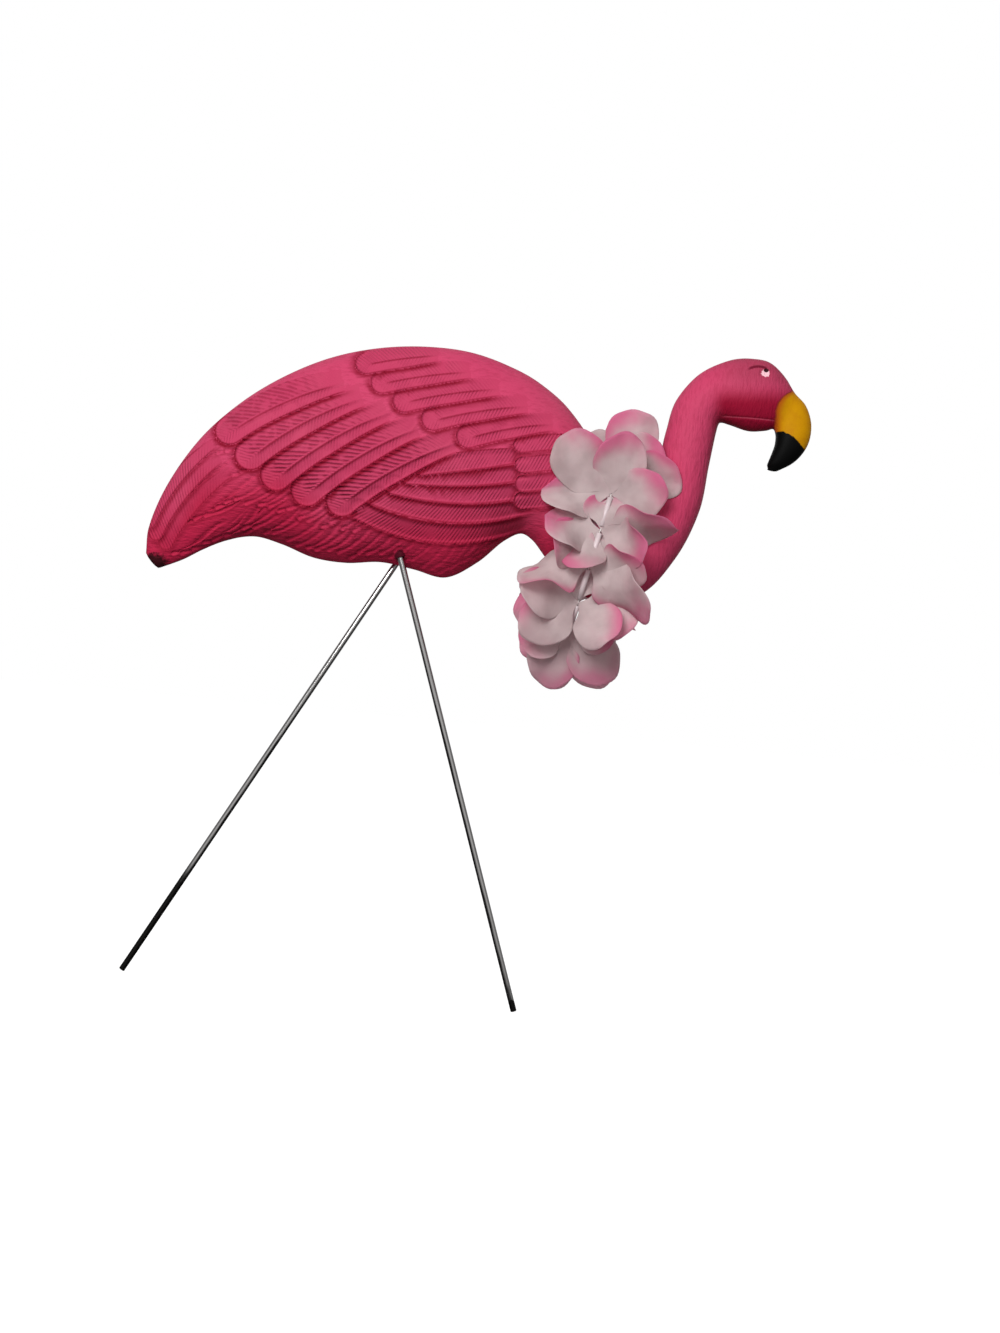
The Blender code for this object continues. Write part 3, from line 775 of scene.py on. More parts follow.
def carry_feather_maps(mesh, settings):
    """Give the skin its maps: where on its feather each corner lies, how coarse the barbs are, the painted
    shadow.

    The map "barbs" holds the run towards the tip and the distance from the shaft, "vanes" the share of the
    feather's length and the distance from its lower edge, in hundreds of the drawing's thousandths.
    """
    back = np.array(to_world().inverted())
    points = values_of(mesh.vertices, "co", 3).reshape(-1, 3) @ back[:3, :3].T + back[:3, 3]
    x = points[:, 0] / UNIT
    z = points[:, 2] / UNIT
    # Painted shadow under the feathers' edges, faded out towards the seam
    _, groove_shade = plumage(x, z, settings.feather_height, settings.lock_height)
    side = smooth(np.abs(points[:, 1]) / SEAM_FADE)
    mesh.attributes.new("groove_shade", "FLOAT", "POINT").data.foreach_set("value", groove_shade * side)

    corner_vertex = values_of(mesh.loops, "vertex_index", kind=int)
    sizes = values_of(mesh.polygons, "loop_total", kind=int)
    face = np.repeat(np.arange(len(sizes)), sizes)
    middle_x = np.bincount(face, x[corner_vertex]) / sizes
    middle_z = np.bincount(face, z[corner_vertex]) / sizes
    laid = list(feathers())
    owner = feather_owners(middle_x, middle_z, laid)
    spots = np.zeros((len(face), 2))
    vanes = np.tile([0.0, 1.0], (len(face), 1))
    barbs = np.zeros(len(face))
    for number, (line, row) in enumerate(laid):
        corners = np.flatnonzero(owner[face] == number)
        cx = x[corner_vertex[corners]]
        cz = z[corner_vertex[corners]]
        direction = line[-1] - line[-2]
        longer = np.vstack([line, line[-1] + direction / np.hypot(*direction) * 60])
        length = np.concatenate([[0], np.cumsum(np.hypot(*np.diff(longer, axis=0).T))])
        nearest, along, sign = beside_line(cx, cz, longer)
        run = np.interp(along * (len(longer) - 1), np.arange(len(longer)), length)
        share = run / length[-2]
        width = feather_width(row, np.clip(share, 0, 1))
        off_shaft = sign * nearest - row["shaft"] * width
        spots[corners, 0] = run * UNIT * BARB_UNIT
        spots[corners, 1] = off_shaft * UNIT * BARB_UNIT
        edge = width - np.hypot(nearest, np.clip(run - length[-2], 0, None))
        vanes[corners, 0] = share
        vanes[corners, 1] = np.where((sign > 0) | (share > 1), edge, width) / 100
        barbs[corners] = row["barbs"] / 2
    for name, values in (("barbs", spots), ("vanes", vanes)):
        mesh.uv_layers.new(name=name).data.foreach_set("uv", values.ravel())
    mesh.attributes.new("feathered", "FLOAT", "CORNER").data.foreach_set("value", barbs)


def beak_paint(board, x, z, wobble):
    """Masks of the painted beak and of its black tip, and how far past the paint's edge each point is."""
    rise = board.maths("MAXIMUM", (z - 205) / 41.2, 0)
    past_edge = x - (rise * rise * rise * 25.5 + 560.8)
    upper = board.step(past_edge + wobble * 0.5, -2.5, 2.5)
    under = board.step(z, 186, 181) * board.step(x, 520, 530)
    fall = board.maths("MAXIMUM", (x - 570) / 36, 0)
    tip_edge = 186 - 27 * board.maths("POWER", fall, 1.5)
    tip = board.step(z - tip_edge + wobble, 1.2, -1.2) * board.step(x, 520, 530)
    return board.maths("MAXIMUM", upper, under), tip, past_edge


def face_paint(board, x, z, world):
    """Masks of the eye's white, the pupil, painted shade in the brow's groove and a painted highlight on the
    jaw.
    """
    ragged = (board.noise(world, 420, 2) - 0.5) * 0.9
    white = board.step(board.ellipse(x, z, EYE, (EYE_RADIUS, EYE_RADIUS)) + ragged, 1.0, 0.8)
    pupil = board.step(board.ellipse(x, z, PUPIL, PUPIL_HALF), 1.15, 0.85)
    from_top = x - BROW_TOP[0]
    off_brow = board.maths("ABSOLUTE", z - BROW_TOP[1] + from_top * from_top * BROW_ARCH)
    # Painted shade in the brow's groove
    brow = board.step(off_brow, 3.0, 1.0) * board.step(x, BROW_ENDS[0], BROW_ENDS[0] + 8)
    brow = brow * board.step(x, BROW_ENDS[1], BROW_ENDS[1] - 7)
    # Painted highlight along the jaw's moulded ridge
    off_jaw = board.maths("ABSOLUTE", z + x * 0.08 - 246.2)
    jaw_highlight = board.step(off_jaw, 1.4, 0.4) * board.step(x, 478, 486) * board.step(x, 562, 556)
    return white, pupil, brow, jaw_highlight


def moulded_lines(board, world, on_neck, beak):
    """Barbs and lines too fine for the mesh: the normal they give, and the painted shade each point takes.

    The barbs are dashes over a wing feather's shaft, and a fine hatch everywhere else on a feather. Painted
    shade darkens the lines under each feather's lower edge, along its shaft, between its barbs and in the
    hatch.
    """
    feathered = board.attribute("feathered")
    run, off_shaft, _ = board.parts(board.uv("barbs"))
    share, from_edge, _ = board.parts(board.uv("vanes"))
    outward = board.maths("ABSOLUTE", off_shaft)
    on_feather = board.step(feathered, 0.1, 0.4)
    over_shaft = board.step(off_shaft, -0.010, -0.030)
    coarse_side = board.step(feathered, 0.7, 0.8) * over_shaft * board.step(share, 0.16, 0.52)
    coarse_side = coarse_side * board.step(share, 1.06, 0.96)
    drift = (board.noise(world, 60, 2) - 0.5) * 0.035
    patches = board.step(board.noise(world, 110, 2), 0.30, 0.55)
    coarse = board.maths("SINE", (run - outward * 1.25 + drift) * (2 * math.pi / COARSE_PITCH))
    coarse = coarse * coarse_side * (patches * 0.7 + 0.3)
    fine = board.maths("SINE", (run - outward * 0.75 + drift * 0.5) * (2 * math.pi / FINE_PITCH))
    fine = fine * (1 - coarse_side) * on_feather * board.step(share, 0.08, 0.36)
    fine = fine * board.step(board.noise(world, 75, 2), 0.25, 0.6)
    strokes = board.noise(board.place(scale=(95, 120, 420), turn=(0, math.radians(-28), 0)), 1.0, 2, 0.6)
    neck = board.noise(board.place(scale=(420, 160, 80), turn=(0, math.radians(14), 0)), 1.0, 2, 0.6)
    lines = (strokes * (1 - on_neck) + neck * on_neck) * (1 - on_feather) * (1 - beak)
    normal = board.bump(coarse, 0.00060)
    normal = board.bump(fine, 0.00028, normal)
    normal = board.bump(lines, 0.0015, normal, 0.8)
    normal = board.bump(board.noise(world, 900, 3), 0.00010, normal, 0.5)

    # Painted shade: dark lines in each shaft's crease and on each feather's steep lower edge, over the
    # painted shadow cast from above, and in the hollows between the barbs, the hatch and the strokes
    shaft = board.step(board.maths("ABSOLUTE", off_shaft / 0.00686 - 0.6), 2.3, 0.5) * on_feather
    shaft = shaft * board.step(share, 0.10, 0.34) * board.step(share, 0.99, 0.90)
    edge = board.step(from_edge * 100, 4.2, 0.8) * on_feather * board.step(share, 0.05, 0.2)
    shade = board.maths("MAXIMUM", board.attribute("groove_shade"), edge * (0.35 + feathered * 0.45))
    shade = board.maths("MAXIMUM", shade, shaft * 0.55)
    shade = board.maths("MAXIMUM", shade, board.step(coarse, -0.10, -0.75) * 0.40)
    shade = shade + board.step(fine, -0.1, -0.9) * 0.11 + board.step(lines, 0.52, 0.34) * 0.17
    return normal, board.maths("MINIMUM", shade, 1)


def plastic_colour(board, settings, x, z, world, on_neck, shade):
    """The plastic's colour: dull on the crown, with painted shade below, under the head, in its lines and
    sockets.
    """
    tone = board.noise(world, 14, 4, 0.6)
    faded = tinted(settings.pink, FADED_SHARES)
    pink = board.mix(board.step(tone, 0.3, 0.75) * 0.3, settings.pink, faded)
    # Painted shade: the pink darkens low on the body, and higher under the wing and tail
    deep = tinted(settings.pink, UNDERSIDE_SHADE_SHARES)
    shade_under_wing = board.step(x, -84, -190) * board.step(x, -345, -290)
    pink = board.mix(board.step(z - shade_under_wing * 65, 95, -5) * (1 - on_neck) * 0.82, pink, deep)
    crown = board.step(x, 455, 515) * board.step(z, 232, 275)
    pink = board.mix(crown * 0.7, pink, CROWN_PINK)
    # Painted shade under the head, darker than the shade low on the body
    shade_under_head = board.step(z, 258, 224) * board.step(x, 456, 486)
    pink = board.mix(shade_under_head, pink, tinted(deep, (0.66,) * 3))
    # Painted shade in the grooves, lines and hollows
    pink = board.mix(shade, pink, settings.groove_shade)
    worn = board.step(board.noise(board.place(scale=(30, 30, 30)), 1.0, 6, 0.75), 0.60, 0.74)
    pink = board.mix(worn * 0.12, pink, WORN_PINK)
    seam = board.step(board.maths("ABSOLUTE", board.parts(world)[1]), 0.0026, 0.0010)
    pink = board.mix(seam * 0.75, pink, SEAM_PINK)
    # Painted shade in and round the mouth of each socket
    from_socket = board.maths("SQRT", x * x + z * z) + (board.noise(world, 200, 3) - 0.5) * 5
    return board.mix(board.step(from_socket, 9.5, 6.0) * 0.9, pink, SOCKET_SHADE)


def plastic_finish(settings):
    """Satin pink plastic with moulded barbs and a painted beak and eye."""
    board = Board("pink moulded plastic")
    x, _, z = board.parts(board.drawing())
    world = board.place()
    wobble = (board.noise(world, 160, 3) - 0.5) * 8
    beak, tip, past_edge = beak_paint(board, x, z, wobble)
    eye_white, pupil, brow, jaw_highlight = face_paint(board, x, z, world)
    on_neck = board.step(x, 270, 330)
    normal, shade = moulded_lines(board, world, on_neck, beak)

    pink = plastic_colour(board, settings, x, z, world, on_neck, shade)
    # Painted shade in the brow's groove
    pink = board.mix(brow * 0.9, pink, BROW_SHADE)
    # Painted highlight along the jaw's ridge
    pink = board.mix(jaw_highlight * 0.42, pink, JAW_HIGHLIGHT)
    aged = board.step(board.noise(world, 60, 4, 0.65), 0.35, 0.7)
    yellow = board.mix(aged * 0.45, settings.yellow, OLD_YELLOW)
    yellow = board.mix(board.step(past_edge, 14, -1), yellow, EDGE_ORANGE)
    colour = board.mix(beak, pink, yellow)
    colour = board.mix(tip, colour, settings.black)
    colour = board.mix(eye_white, colour, EYE_WHITE)
    colour = board.mix(pupil, colour, PUPIL_BLACK)
    smudge = board.ellipse(x, z, (-370, -11), (27, 17)) + (board.noise(world, 190, 4, 0.7) - 0.5) * 1.1
    colour = board.mix(board.step(smudge, 1.05, 0.6) * 0.95, colour, SMUDGE_BLACK)
    roughness = 0.46 + board.noise(world, 45, 3) * 0.16 + shade * 0.12 - beak * 0.10
    return board.finish(Base_Color=colour, Roughness=roughness, Normal=normal, Specular_IOR_Level=0.06)


class FLAMINGO_OT_bird(bpy.types.Operator):
    """Make the moulded bird with its feathers, collars and sockets"""
    bl_idname = "flamingo.bird"
    bl_label = "Bird"

    def execute(self, context):
        settings = context.scene.flamingo_bird
        bm = closed_skin(bird_skin(settings))
        bmesh.ops.transform(bm, matrix=to_world(), verts=bm.verts)
        triangles = sum(len(face.verts) - 2 for face in bm.faces)
        mesh = mesh_from(bm, "skin")
        helpers = collars_and_sockets()
        steps = [("DECIMATE", {"ratio": min(1.0, settings.triangles / triangles)})]
        steps += [("BOOLEAN", {"operation": operation, "object": helper, "solver": "EXACT"})
                  for helper, operation in helpers]
        mesh = with_modifiers(mesh, steps)
        for helper, _ in helpers:
            bpy.data.objects.remove(helper)
        carry_feather_maps(mesh, settings)
        bird = add_object("bird", mesh, plastic_finish(settings), math.radians(50))
        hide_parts("flamingo")
        return {"FINISHED"}


def steel_finish(name, settings, placement, dark_length, dark_side):
    """Bright drawn steel whose lower end, and one side of it above that, is dark with mill scale."""
    board = Board(name)
    inverse = placement.inverted()
    local = board.place(turn=tuple(inverse.to_euler()), shift=tuple(inverse.translation))
    x, y, z = board.parts(local)
    blotch = (board.noise(local, 55, 4, 0.6) - 0.5) * 0.05
    around = board.noise(board.join(x * 220, y * 220, z * 18), 1.0, 3, 0.6)
    dark = board.step(z + blotch * 0.5, dark_length, dark_length * 0.78)
    stain = board.step(around + x * dark_side * 150 - z * 0.9, 0.36, 0.56) * 0.92
    dark = board.maths("MAXIMUM", dark, stain * board.step(z, 0.50, 0.36))
    tone = board.noise(board.join(x * 300, y * 300, z * 14), 1.0, 4, 0.55)
    steel = board.mix(tone, settings.steel, tinted(settings.steel, (0.62,) * 3))
    colour = board.mix(dark * 0.98, steel, settings.scale)
    roughness = 0.13 + tone * 0.10 + dark * 0.25
    normal = board.bump(board.noise(board.join(x * 1500, y * 1500, z * 30), 1.0, 2), 0.00006)
    return board.finish(Base_Color=colour, Metallic=1.0, Roughness=roughness, Normal=normal)


class FLAMINGO_OT_legs(bpy.types.Operator):
    """Make the two steel rods"""
    bl_idname = "flamingo.legs"
    bl_label = "Legs"

    def execute(self, context):
        settings = context.scene.flamingo_legs
        for name, lean, side in LEGS:
            placement, _ = leg_placement(lean, side)
            bm = bar(settings.diameter / 2, settings.length, ROUND_SIDES, placement, ROD_ROUND, 4)
            finish = steel_finish(f"{name} steel", settings, placement, DARK_LENGTHS[name], side)
            rod = add_object(f"rod_{name}", mesh_from(bm, name), finish, math.radians(40))
            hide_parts(f"leg_{name}")
        return {"FINISHED"}


def garland_loop():
    """The thread's loop in the bird's drawing frame: its centre, its upward direction, its two half sizes."""
    back_x, back_z, breast_x, breast_z, share = SADDLE
    neck_height = math.hypot(back_x - breast_x, back_z - breast_z) * UNIT
    up = Vector((math.sin(LOOP_TILT), 0, math.cos(LOOP_TILT)))
    half_height = (neck_height + LOOP_TOP_SLACK + LOOP_DROP) / 2
    centre = Vector((back_x * UNIT, 0, back_z * UNIT)) + up * (LOOP_TOP_SLACK - half_height)
    return centre, up, half_height, BODY_WIDTH / 2 * share / 100 + LOOP_SIDE_GAP


def garland_turns():
    """Angles round the loop at which the blossoms sit, the same length of thread apart."""
    _, _, half_height, half_width = garland_loop()
    turn = np.linspace(0, 2 * math.pi, 721)
    steps = np.hypot(np.diff(np.cos(turn)) * half_height, np.diff(np.sin(turn)) * half_width)
    length = np.concatenate([[0], np.cumsum(steps)])
    stops = (np.arange(BLOSSOM_COUNT) + 0.5) / BLOSSOM_COUNT * length[-1]
    return np.interp(stops, length, turn)


def thread_point(turn):
    """World point at an angle round the loop, from its top by way of the near side."""
    centre, up, half_height, half_width = garland_loop()
    near = Vector((0, -1, 0))
    return to_world() @ (centre + up * math.cos(turn) * half_height + near * math.sin(turn) * half_width)


def blossom_frame(index, turn):
    """World placement of a blossom: +X right and +Y up in the bird's side view, +Z out from the bird."""
    out = -1 if index < len(NEAR_BLOSSOMS) else 1
    made = to_world().to_3x3() @ Matrix(((1, 0, 0), (0, 0, out), (0, 1, 0)))
    made = made.to_4x4()
    made.translation = thread_point(turn)
    return made


def petal_reach(angle):
    """How far a petal's rim is from the hub at an angle off its middle line, as a share of its length."""
    return PETAL_MIDDLE * np.cos(angle) + np.sqrt(PETAL_ROUND**2 - (PETAL_MIDDLE * np.sin(angle))**2)


def bend_petal(p, w, length, lean, curl, twist, ruffle):
    """Bend one petal out of the flat cloth. p runs along its middle line and w across it, in metres."""
    line = np.linspace(0, 1.6 * length, 120)
    run = np.clip((line - HUB) / length, 0, None)
    angle = math.radians(lean) * smooth((line - HUB * 0.6) / (HUB * 1.6)) + math.radians(curl) * run**1.5
    step = line[1] - line[0]
    out = np.concatenate([[0], np.cumsum(np.cos(angle))[:-1]]) * step
    up = np.concatenate([[0], np.cumsum(np.sin(angle))[:-1]]) * step
    bend = np.interp(p, line, angle)
    turn = math.radians(twist) * smooth((p - HUB) / (0.55 * length))
    tangent = np.stack([np.cos(bend), np.zeros_like(bend), np.sin(bend)], axis=1)
    across = np.stack([np.zeros_like(bend), np.ones_like(bend), np.zeros_like(bend)], axis=1)
    normal = np.cross(tangent, across)
    turned = across * np.cos(turn)[:, None] + normal * np.sin(turn)[:, None]
    facing = normal * np.cos(turn)[:, None] - across * np.sin(turn)[:, None]
    share = np.clip(np.hypot(p, w) / length, 0, 1.3)
    middle = np.stack([np.interp(p, line, out), np.zeros_like(p), np.interp(p, line, up)], axis=1)
    height, waves, phase, cup = ruffle
    wave = height * share**2.2 * np.sin(w / length * waves + phase)
    wave += cup * (w / length)**2 * length * smooth(share * 1.5)
    wave += 0.30 * height * share**4 * np.sin(w / length * waves * 2.3 + p / length * 4 + phase * 3)
    return middle + turned * w[:, None] + facing * wave[:, None]


def blossom_petals(index, random):
    """How each petal of a blossom goes: as chosen on the near side, and much the same on the far side."""
    if index < len(NEAR_BLOSSOMS):
        return NEAR_BLOSSOMS[index]
    petals = []
    for way, lean, curl, twist, length in NEAR_BLOSSOMS[BLOSSOM_COUNT - 1 - index]:
        way += random.uniform(-FAR_TURN, FAR_TURN)
        lean += random.uniform(-6, 8)
        curl += random.uniform(-8, 8)
        twist += random.uniform(-12, 12)
        petals.append((way, lean, curl, twist, length))
    return petals


def flat_petal(share, aside, length, scale, random):
    """One petal in the flat cloth: how far each point lies along its middle line, and how far across it."""
    wobble = (1 + 0.022 * np.sin(aside * 6 + random.uniform(0, 6))
              + 0.009 * np.sin(aside * 14 + random.uniform(0, 6)))
    rho = share * length * petal_reach(aside * PETAL_OPEN) * wobble
    off = aside * (PETAL_HALF + (PETAL_OPEN - PETAL_HALF) * smooth((rho - HUB * 0.5) / (0.35 * length)))
    return rho * np.cos(off), rho * np.sin(off) / scale**PETAL_STRETCH


def petal_dye(share, aside, random):
    """How much dye each point of a petal has taken: one patch, deepest at the petal's end."""
    start = random.uniform(0.30, 0.55)
    dye = smooth((share - start) / (1.08 - start))
    return dye * np.exp(-((aside - random.uniform(-0.8, 0.8)) / random.uniform(0.45, 0.9))**2)


def petal_area(length, scale):
    """Flat area of one petal."""
    angles = np.linspace(-PETAL_OPEN, PETAL_OPEN, 61)
    return float(np.trapz((length * petal_reach(angles))**2 / 2, angles)) / scale**PETAL_STRETCH


def rotated(x, y, angle):
    """Points of a plane, rotated about its origin."""
    c = math.cos(angle)
    s = math.sin(angle)
    return x * c - y * s, x * s + y * c


def blossom_mesh(name, index, turn, settings, bird, random):
    """One blossom and its flat area: cloth slit to its hub, bent petal by petal and kept off the bird."""
    rings, spokes = ((20, 26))
    placement = np.array(blossom_frame(index, turn))
    bm = bmesh.new()
    dye_layer = bm.verts.layers.float.new("dye")
    spots = {}
    area = 0.0
    for number, (way, lean, curl, twist, scale) in enumerate(blossom_petals(index, random)):
        length = settings.petal * scale
        petal = bmesh.ops.create_grid(bm, x_segments=rings, y_segments=spokes, size=1)["verts"]
        grid = np.array([vert.co for vert in petal])
        share = (grid[:, 0] + 1) / 2
        aside = grid[:, 1]
        p, w = flat_petal(share, aside, length, scale, random)
        ruffle = (random.uniform(0.0020, 0.0042), random.uniform(5, 9), random.uniform(0, 6.3),
                  random.uniform(-0.40, 0.30))
        bent = bend_petal(p, w, length, lean, curl, twist, ruffle)
        placed = np.stack([*rotated(bent[:, 0], bent[:, 1], math.radians(way)), bent[:, 2]], axis=1)
        placed = placed @ placement[:3, :3].T + placement[:3, 3]
        dye = petal_dye(share, aside, random)
        flat_x, flat_y = rotated(p, w, number * 2 * PETAL_HALF)
        for at, vert in enumerate(petal):
            vert.co = placed[at]
            vert[dye_layer] = dye[at]
            spots[vert] = (flat_x[at], flat_y[at])
        area += petal_area(length, scale)
    flat = bm.loops.layers.uv.new("cloth")
    for face in bm.faces:
        for loop in face.loops:
            loop[flat].uv = Vector(spots[loop.vert]) * CLOTH_UNIT
    keep_off(bm, bird)
    bmesh.ops.remove_doubles(bm, verts=bm.verts, dist=1e-5)
    bmesh.ops.recalc_face_normals(bm, faces=bm.faces)
    return mesh_from(bm, name), area


def keep_off(bm, bird):
    """Lay the cloth over the bird where it would go into it, and ease the bends that this leaves."""
    for ease in (True, True, False):
        touching = []
        for vert in bm.verts:
            spot, normal, _, distance = bird.find_nearest(vert.co)
            if (vert.co - spot).dot(normal) < 0 or distance < CLEARANCE:
                vert.co = spot + normal * CLEARANCE
                touching.append(vert)
        if ease and touching:
            around = {edge.other_vert(vert) for vert in touching for edge in vert.link_edges}
            bmesh.ops.smooth_vert(bm, verts=list(around.union(touching)), factor=0.5, use_axis_x=True,
                                  use_axis_y=True, use_axis_z=True)


def cloth_finish(settings):
    """Thin white cloth, dyed pink towards the petals' ends, with painted shade darkening the garland's
    bottom.
    """
    board = Board("dyed blossom cloth")
    u, v, _ = board.parts(board.uv("cloth"))
    world = board.place()
    dye = board.attribute("dye") + (board.noise(world, 60, 2, 0.5) - 0.5) * 0.5
    dye = board.step(dye, 0.0, 0.95)
    grey = board.step(board.noise(world, 35, 3), 0.35, 0.70)
    white = board.mix(grey * 0.7, settings.white, (0.47, 0.375, 0.375))
    colour = board.mix(dye * 0.96, white, settings.dye)
    ribs = board.noise(board.join(u * 150, v * 5), 1.0, 2)
    colour = board.mix(board.step(ribs, 0.45, 0.75) * 0.16, colour, tinted(settings.white, (0.62,) * 3))
    # Painted shade: the blossoms low on the garland are darker
    low = board.step(board.parts(world)[2], 0.400, 0.330)
    colour = board.mix(low * 0.62, colour, (0.34, 0.17, 0.22))
    creases = board.noise(board.join(u * 5, v * 5), 1.0, 2, 0.5)
    normal = board.bump(creases, 0.0022, strength=0.6)
    per_metre = 2 * math.pi / WEAVE_PITCH
    threads = board.maths("SINE", u * per_metre) * board.maths("SINE", v * per_metre)
    normal = board.bump(threads, 0.00006, normal)
    board.finish(Base_Color=colour, Roughness=0.85, Normal=normal, Specular_IOR_Level=0.15, Alpha=0.78)
    through = board.tree.nodes.new("ShaderNodeBsdfTranslucent")
    through.inputs["Color"].default_value = (0.72, 0.48, 0.53, 1)
    blend = board.tree.nodes.new("ShaderNodeMixShader")
    blend.inputs[0].default_value = 0.33
    board.tree.links.new(board.shader.outputs[0], blend.inputs[1])
    board.tree.links.new(through.outputs[0], blend.inputs[2])
    board.tree.links.new(blend.outputs[0], board.output.inputs["Surface"])
    return board.material


class FLAMINGO_OT_blossoms(bpy.types.Operator):
    """Make the cloth blossoms of the garland"""
    bl_idname = "flamingo.blossoms"
    bl_label = "Blossoms"

    def execute(self, context):
        settings = context.scene.flamingo_garland
        skin = bmesh.new()
        skin.from_mesh(bpy.data.objects["bird"].data)
        bird = BVHTree.FromBMesh(skin)
        skin.free()
        finish = cloth_finish(settings)
        random = np.random.default_rng(7)
        for index, turn in enumerate(garland_turns()):
            name = f"blossom_{index + 1:02d}"
            mesh, area = blossom_mesh(name, index, turn, settings, bird, random)
            blossom = add_object(name, mesh, finish)
            thicken(blossom, settings.cloth, 0)
            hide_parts(f"lei_blossom_{index + 1:02d}")
        return {"FINISHED"}


def tube_finish():
    """Milky, slightly see-through plastic tube."""
    board = Board("milky tube")
    world = board.place()
    colour = board.mix(board.noise(world, 120, 3), (0.72, 0.62, 0.63), (0.58, 0.46, 0.48))
    normal = board.bump(board.noise(world, 700, 2), 0.0001)
    return board.finish(Base_Color=colour, Roughness=0.38, Normal=normal, Alpha=0.9)


def thread_finish():
    """Twisted white cotton."""
    board = Board("cotton thread")
    world = board.place()
    colour = board.mix(board.noise(world, 900, 2), (0.74, 0.70, 0.68), (0.50, 0.44, 0.43))
    normal = board.bump(board.noise(world, 1500, 2), 0.0002)
    return board.finish(Base_Color=colour, Roughness=0.9, Normal=normal)


class FLAMINGO_OT_tubes(bpy.types.Operator):
    """Make the thread of the garland and the tubes that space its blossoms"""
    bl_idname = "flamingo.tubes"
    bl_label = "Thread and tubes"

    def execute(self, context):
        settings = context.scene.flamingo_garland
        stops = [thread_point(turn) for turn in garland_turns()]
        curve = bpy.data.curves.new("thread", "CURVE")
        curve.dimensions = "3D"
        curve.bevel_depth = THREAD_RADIUS
        curve.bevel_resolution = 3
        spline = curve.splines.new("POLY")
        spline.points.add(len(stops) - 1)
        for point, stop in zip(spline.points, stops):
            point.co = (*stop, 1)
        spline.use_cyclic_u = True
        helper = bpy.data.objects.new("helper", curve)
        bpy.context.scene.collection.objects.link(helper)
        add_object("thread", mesh_of(helper), thread_finish())

        finish = tube_finish()
        for index, start in enumerate(stops):
            run = stops[(index + 1) % len(stops)] - start
            length = run.length - 2 * TUBE_GAP
            bm = bmesh.new()
            bmesh.ops.create_cone(bm, cap_ends=False, segments=TUBE_SIDES, radius1=settings.tube / 2,
                                  radius2=settings.tube / 2, depth=length)
            place = Matrix.Translation(start + run / 2) @ run.to_track_quat("Z", "Y").to_matrix().to_4x4()
            bmesh.ops.transform(bm, matrix=place, verts=bm.verts)
            tube = add_object(f"tube_{index + 1:02d}", mesh_from(bm, "tube"), finish)
            thicken(tube, TUBE_WALL, -1)
            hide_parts(f"lei_spacer_{index + 1:02d}")
        return {"FINISHED"}


def add_lamp(name, place, target, size, power):
    """A soft round light, turned towards a target."""
    lamp = bpy.data.lights.new(name, "AREA")
    lamp.shape = "DISK"
    lamp.size = size
    lamp.energy = power
    made = bpy.data.objects.new(name, lamp)
    made.location = place
    made.rotation_euler = (Vector(target) - Vector(place)).to_track_quat("-Z", "Y").to_euler()
    bpy.context.scene.collection.objects.link(made)


def add_camera(distance):
    """The camera, square to the bird's side and as far from it as given, with the photograph's framing."""
    lens = bpy.data.cameras.new("camera")
    lens.lens = SENSOR * distance / FRAME_HEIGHT
    lens.sensor_width = SENSOR
    camera = bpy.data.objects.new("camera", lens)
    right = Vector((math.cos(BIRD_PITCH), 0, math.sin(BIRD_PITCH)))
    up = Vector((-math.sin(BIRD_PITCH), 0, math.cos(BIRD_PITCH)))
    back = Vector((0, -1, 0))
    turned_to = Matrix((right, up, back)).transposed().to_4x4()
    target = Vector((FORWARD, 0, BELLY_HEIGHT)) + right * FRAME_MIDDLE[0] + up * FRAME_MIDDLE[1]
    turned_to.translation = target + back * distance
    camera.matrix_world = turned_to
    bpy.context.scene.collection.objects.link(camera)
    bpy.context.scene.camera = camera


def surroundings():
    """White to the camera. As light it is brightest at eye level, and dim below and to both sides."""
    world = bpy.data.worlds.new("studio")
    world.use_nodes = True
    tree = world.node_tree

    def add(kind, inputs=(), **settings):
        made = tree.nodes.new(kind)
        for key, value in settings.items():
            setattr(made, key, value)
        for key, value in inputs:
            if isinstance(value, bpy.types.NodeSocket):
                tree.links.new(value, made.inputs[key])
            else:
                made.inputs[key].default_value = value
        return made

    way = add("ShaderNodeSeparateXYZ", [(0, add("ShaderNodeTexCoord").outputs["Generated"])])
    height = add("ShaderNodeMapRange", [("Value", way.outputs[2]), ("From Min", -1.0), ("From Max", 1.0)])
    heights = add("ShaderNodeValToRGB", [(0, height.outputs[0])])
    ramp = heights.color_ramp
    for place, grey in SKY:
        stop = ramp.elements.new(place)
        stop.color = (grey, grey, grey, 1)
    ramp.elements.remove(ramp.elements[-1])
    ramp.elements.remove(ramp.elements[0])
    sideways = add("ShaderNodeMath", [(0, way.outputs[0])], operation="ABSOLUTE")
    dim = add("ShaderNodeMapRange", [("Value", sideways.outputs[0]), ("From Min", 0.45),
                                     ("From Max", 0.85), ("To Min", 1.0), ("To Max", 0.35)])
    light = add("ShaderNodeMath", [(0, heights.outputs[0]), (1, dim.outputs[0])], operation="MULTIPLY")
    seen = add("ShaderNodeLightPath")
    shown = add("ShaderNodeMath", [(0, light.outputs[0]), (1, seen.outputs["Is Camera Ray"])],
                operation="MAXIMUM")
    tree.links.new(shown.outputs[0], tree.nodes["Background"].inputs["Color"])
    return world


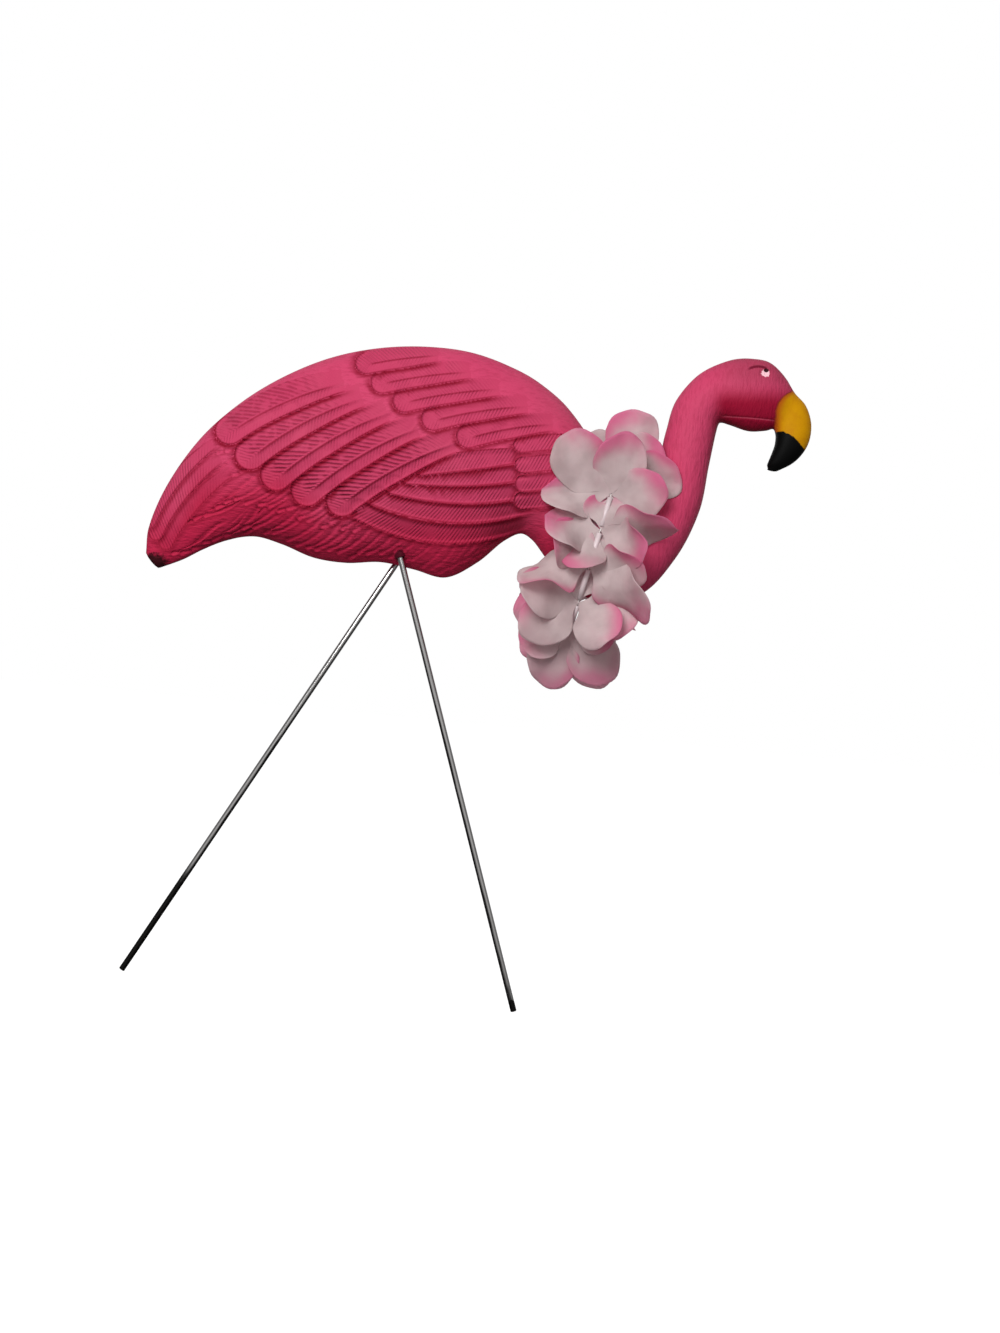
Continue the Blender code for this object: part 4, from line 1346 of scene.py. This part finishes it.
class FLAMINGO_OT_studio(bpy.types.Operator):
    """Make the floor, the lights, the surroundings and the camera"""
    bl_idname = "flamingo.studio"
    bl_label = "Studio"

    def execute(self, context):
        settings = context.scene.flamingo_studio
        scene = context.scene
        bm = bmesh.new()
        bmesh.ops.create_circle(bm, cap_ends=True, segments=96, radius=FLOOR_RADIUS)
        board = Board("studio floor")
        colour = board.mix(board.noise(board.place(), 2.0, 2) * 0.04, settings.floor, (0.36, 0.36, 0.36))
        floor = bpy.data.objects.new("floor", mesh_from(bm, "floor"))
        floor.data.materials.append(board.finish(Base_Color=colour, Roughness=0.9, Specular_IOR_Level=0.0,
                                                 Emission_Color=(1, 1, 1), Emission_Strength=0.88))
        scene.collection.objects.link(floor)
        floor.visible_diffuse = False
        floor.visible_glossy = False
        scene.world = surroundings()
        add_lamp("key", KEY_PLACE, KEY_TARGET, KEY_SIZE, settings.key)
        add_camera(settings.distance)
        scene.view_settings.view_transform = "Standard"
        return {"FINISHED"}


class FLAMINGO_PT_builder(bpy.types.Panel):
    """The ornament's settings and the buttons that build it"""
    bl_idname = "FLAMINGO_PT_builder"
    bl_label = "Flamingo"
    bl_space_type = "VIEW_3D"
    bl_region_type = "UI"
    bl_category = "Flamingo"

    def draw(self, context):
        layout = self.layout
        for group, operators in BUILD_ORDER:
            settings = getattr(context.scene, group)
            box = layout.box()
            for key in settings.__annotations__:
                box.prop(settings, key)
            for operator in operators:
                box.operator(operator.bl_idname)


BUILD_ORDER = (
    ("flamingo_bird", (FLAMINGO_OT_bird,)),
    ("flamingo_legs", (FLAMINGO_OT_legs,)),
    ("flamingo_garland", (FLAMINGO_OT_tubes, FLAMINGO_OT_blossoms)),
    ("flamingo_studio", (FLAMINGO_OT_studio,)),
)
SETTINGS = {
    "flamingo_bird": BirdSettings,
    "flamingo_legs": LegSettings,
    "flamingo_garland": GarlandSettings,
    "flamingo_studio": StudioSettings,
}
CLASSES = (BirdSettings, LegSettings, GarlandSettings, StudioSettings, FLAMINGO_OT_bird, FLAMINGO_OT_legs,
           FLAMINGO_OT_tubes, FLAMINGO_OT_blossoms, FLAMINGO_OT_studio, FLAMINGO_PT_builder)


def register():
    for made in CLASSES:
        bpy.utils.register_class(made)
    for name, group in SETTINGS.items():
        setattr(bpy.types.Scene, name, bpy.props.PointerProperty(type=group))


def unregister():
    for name in SETTINGS:
        delattr(bpy.types.Scene, name)
    for made in reversed(CLASSES):
        bpy.utils.unregister_class(made)


def main():
    """Build every piece and the studio."""
    register()
    bpy.ops.flamingo.bird()
    bpy.ops.flamingo.legs()
    bpy.ops.flamingo.tubes()
    bpy.ops.flamingo.blossoms()
    bpy.ops.flamingo.studio()


if __name__ == "__main__":
    main()
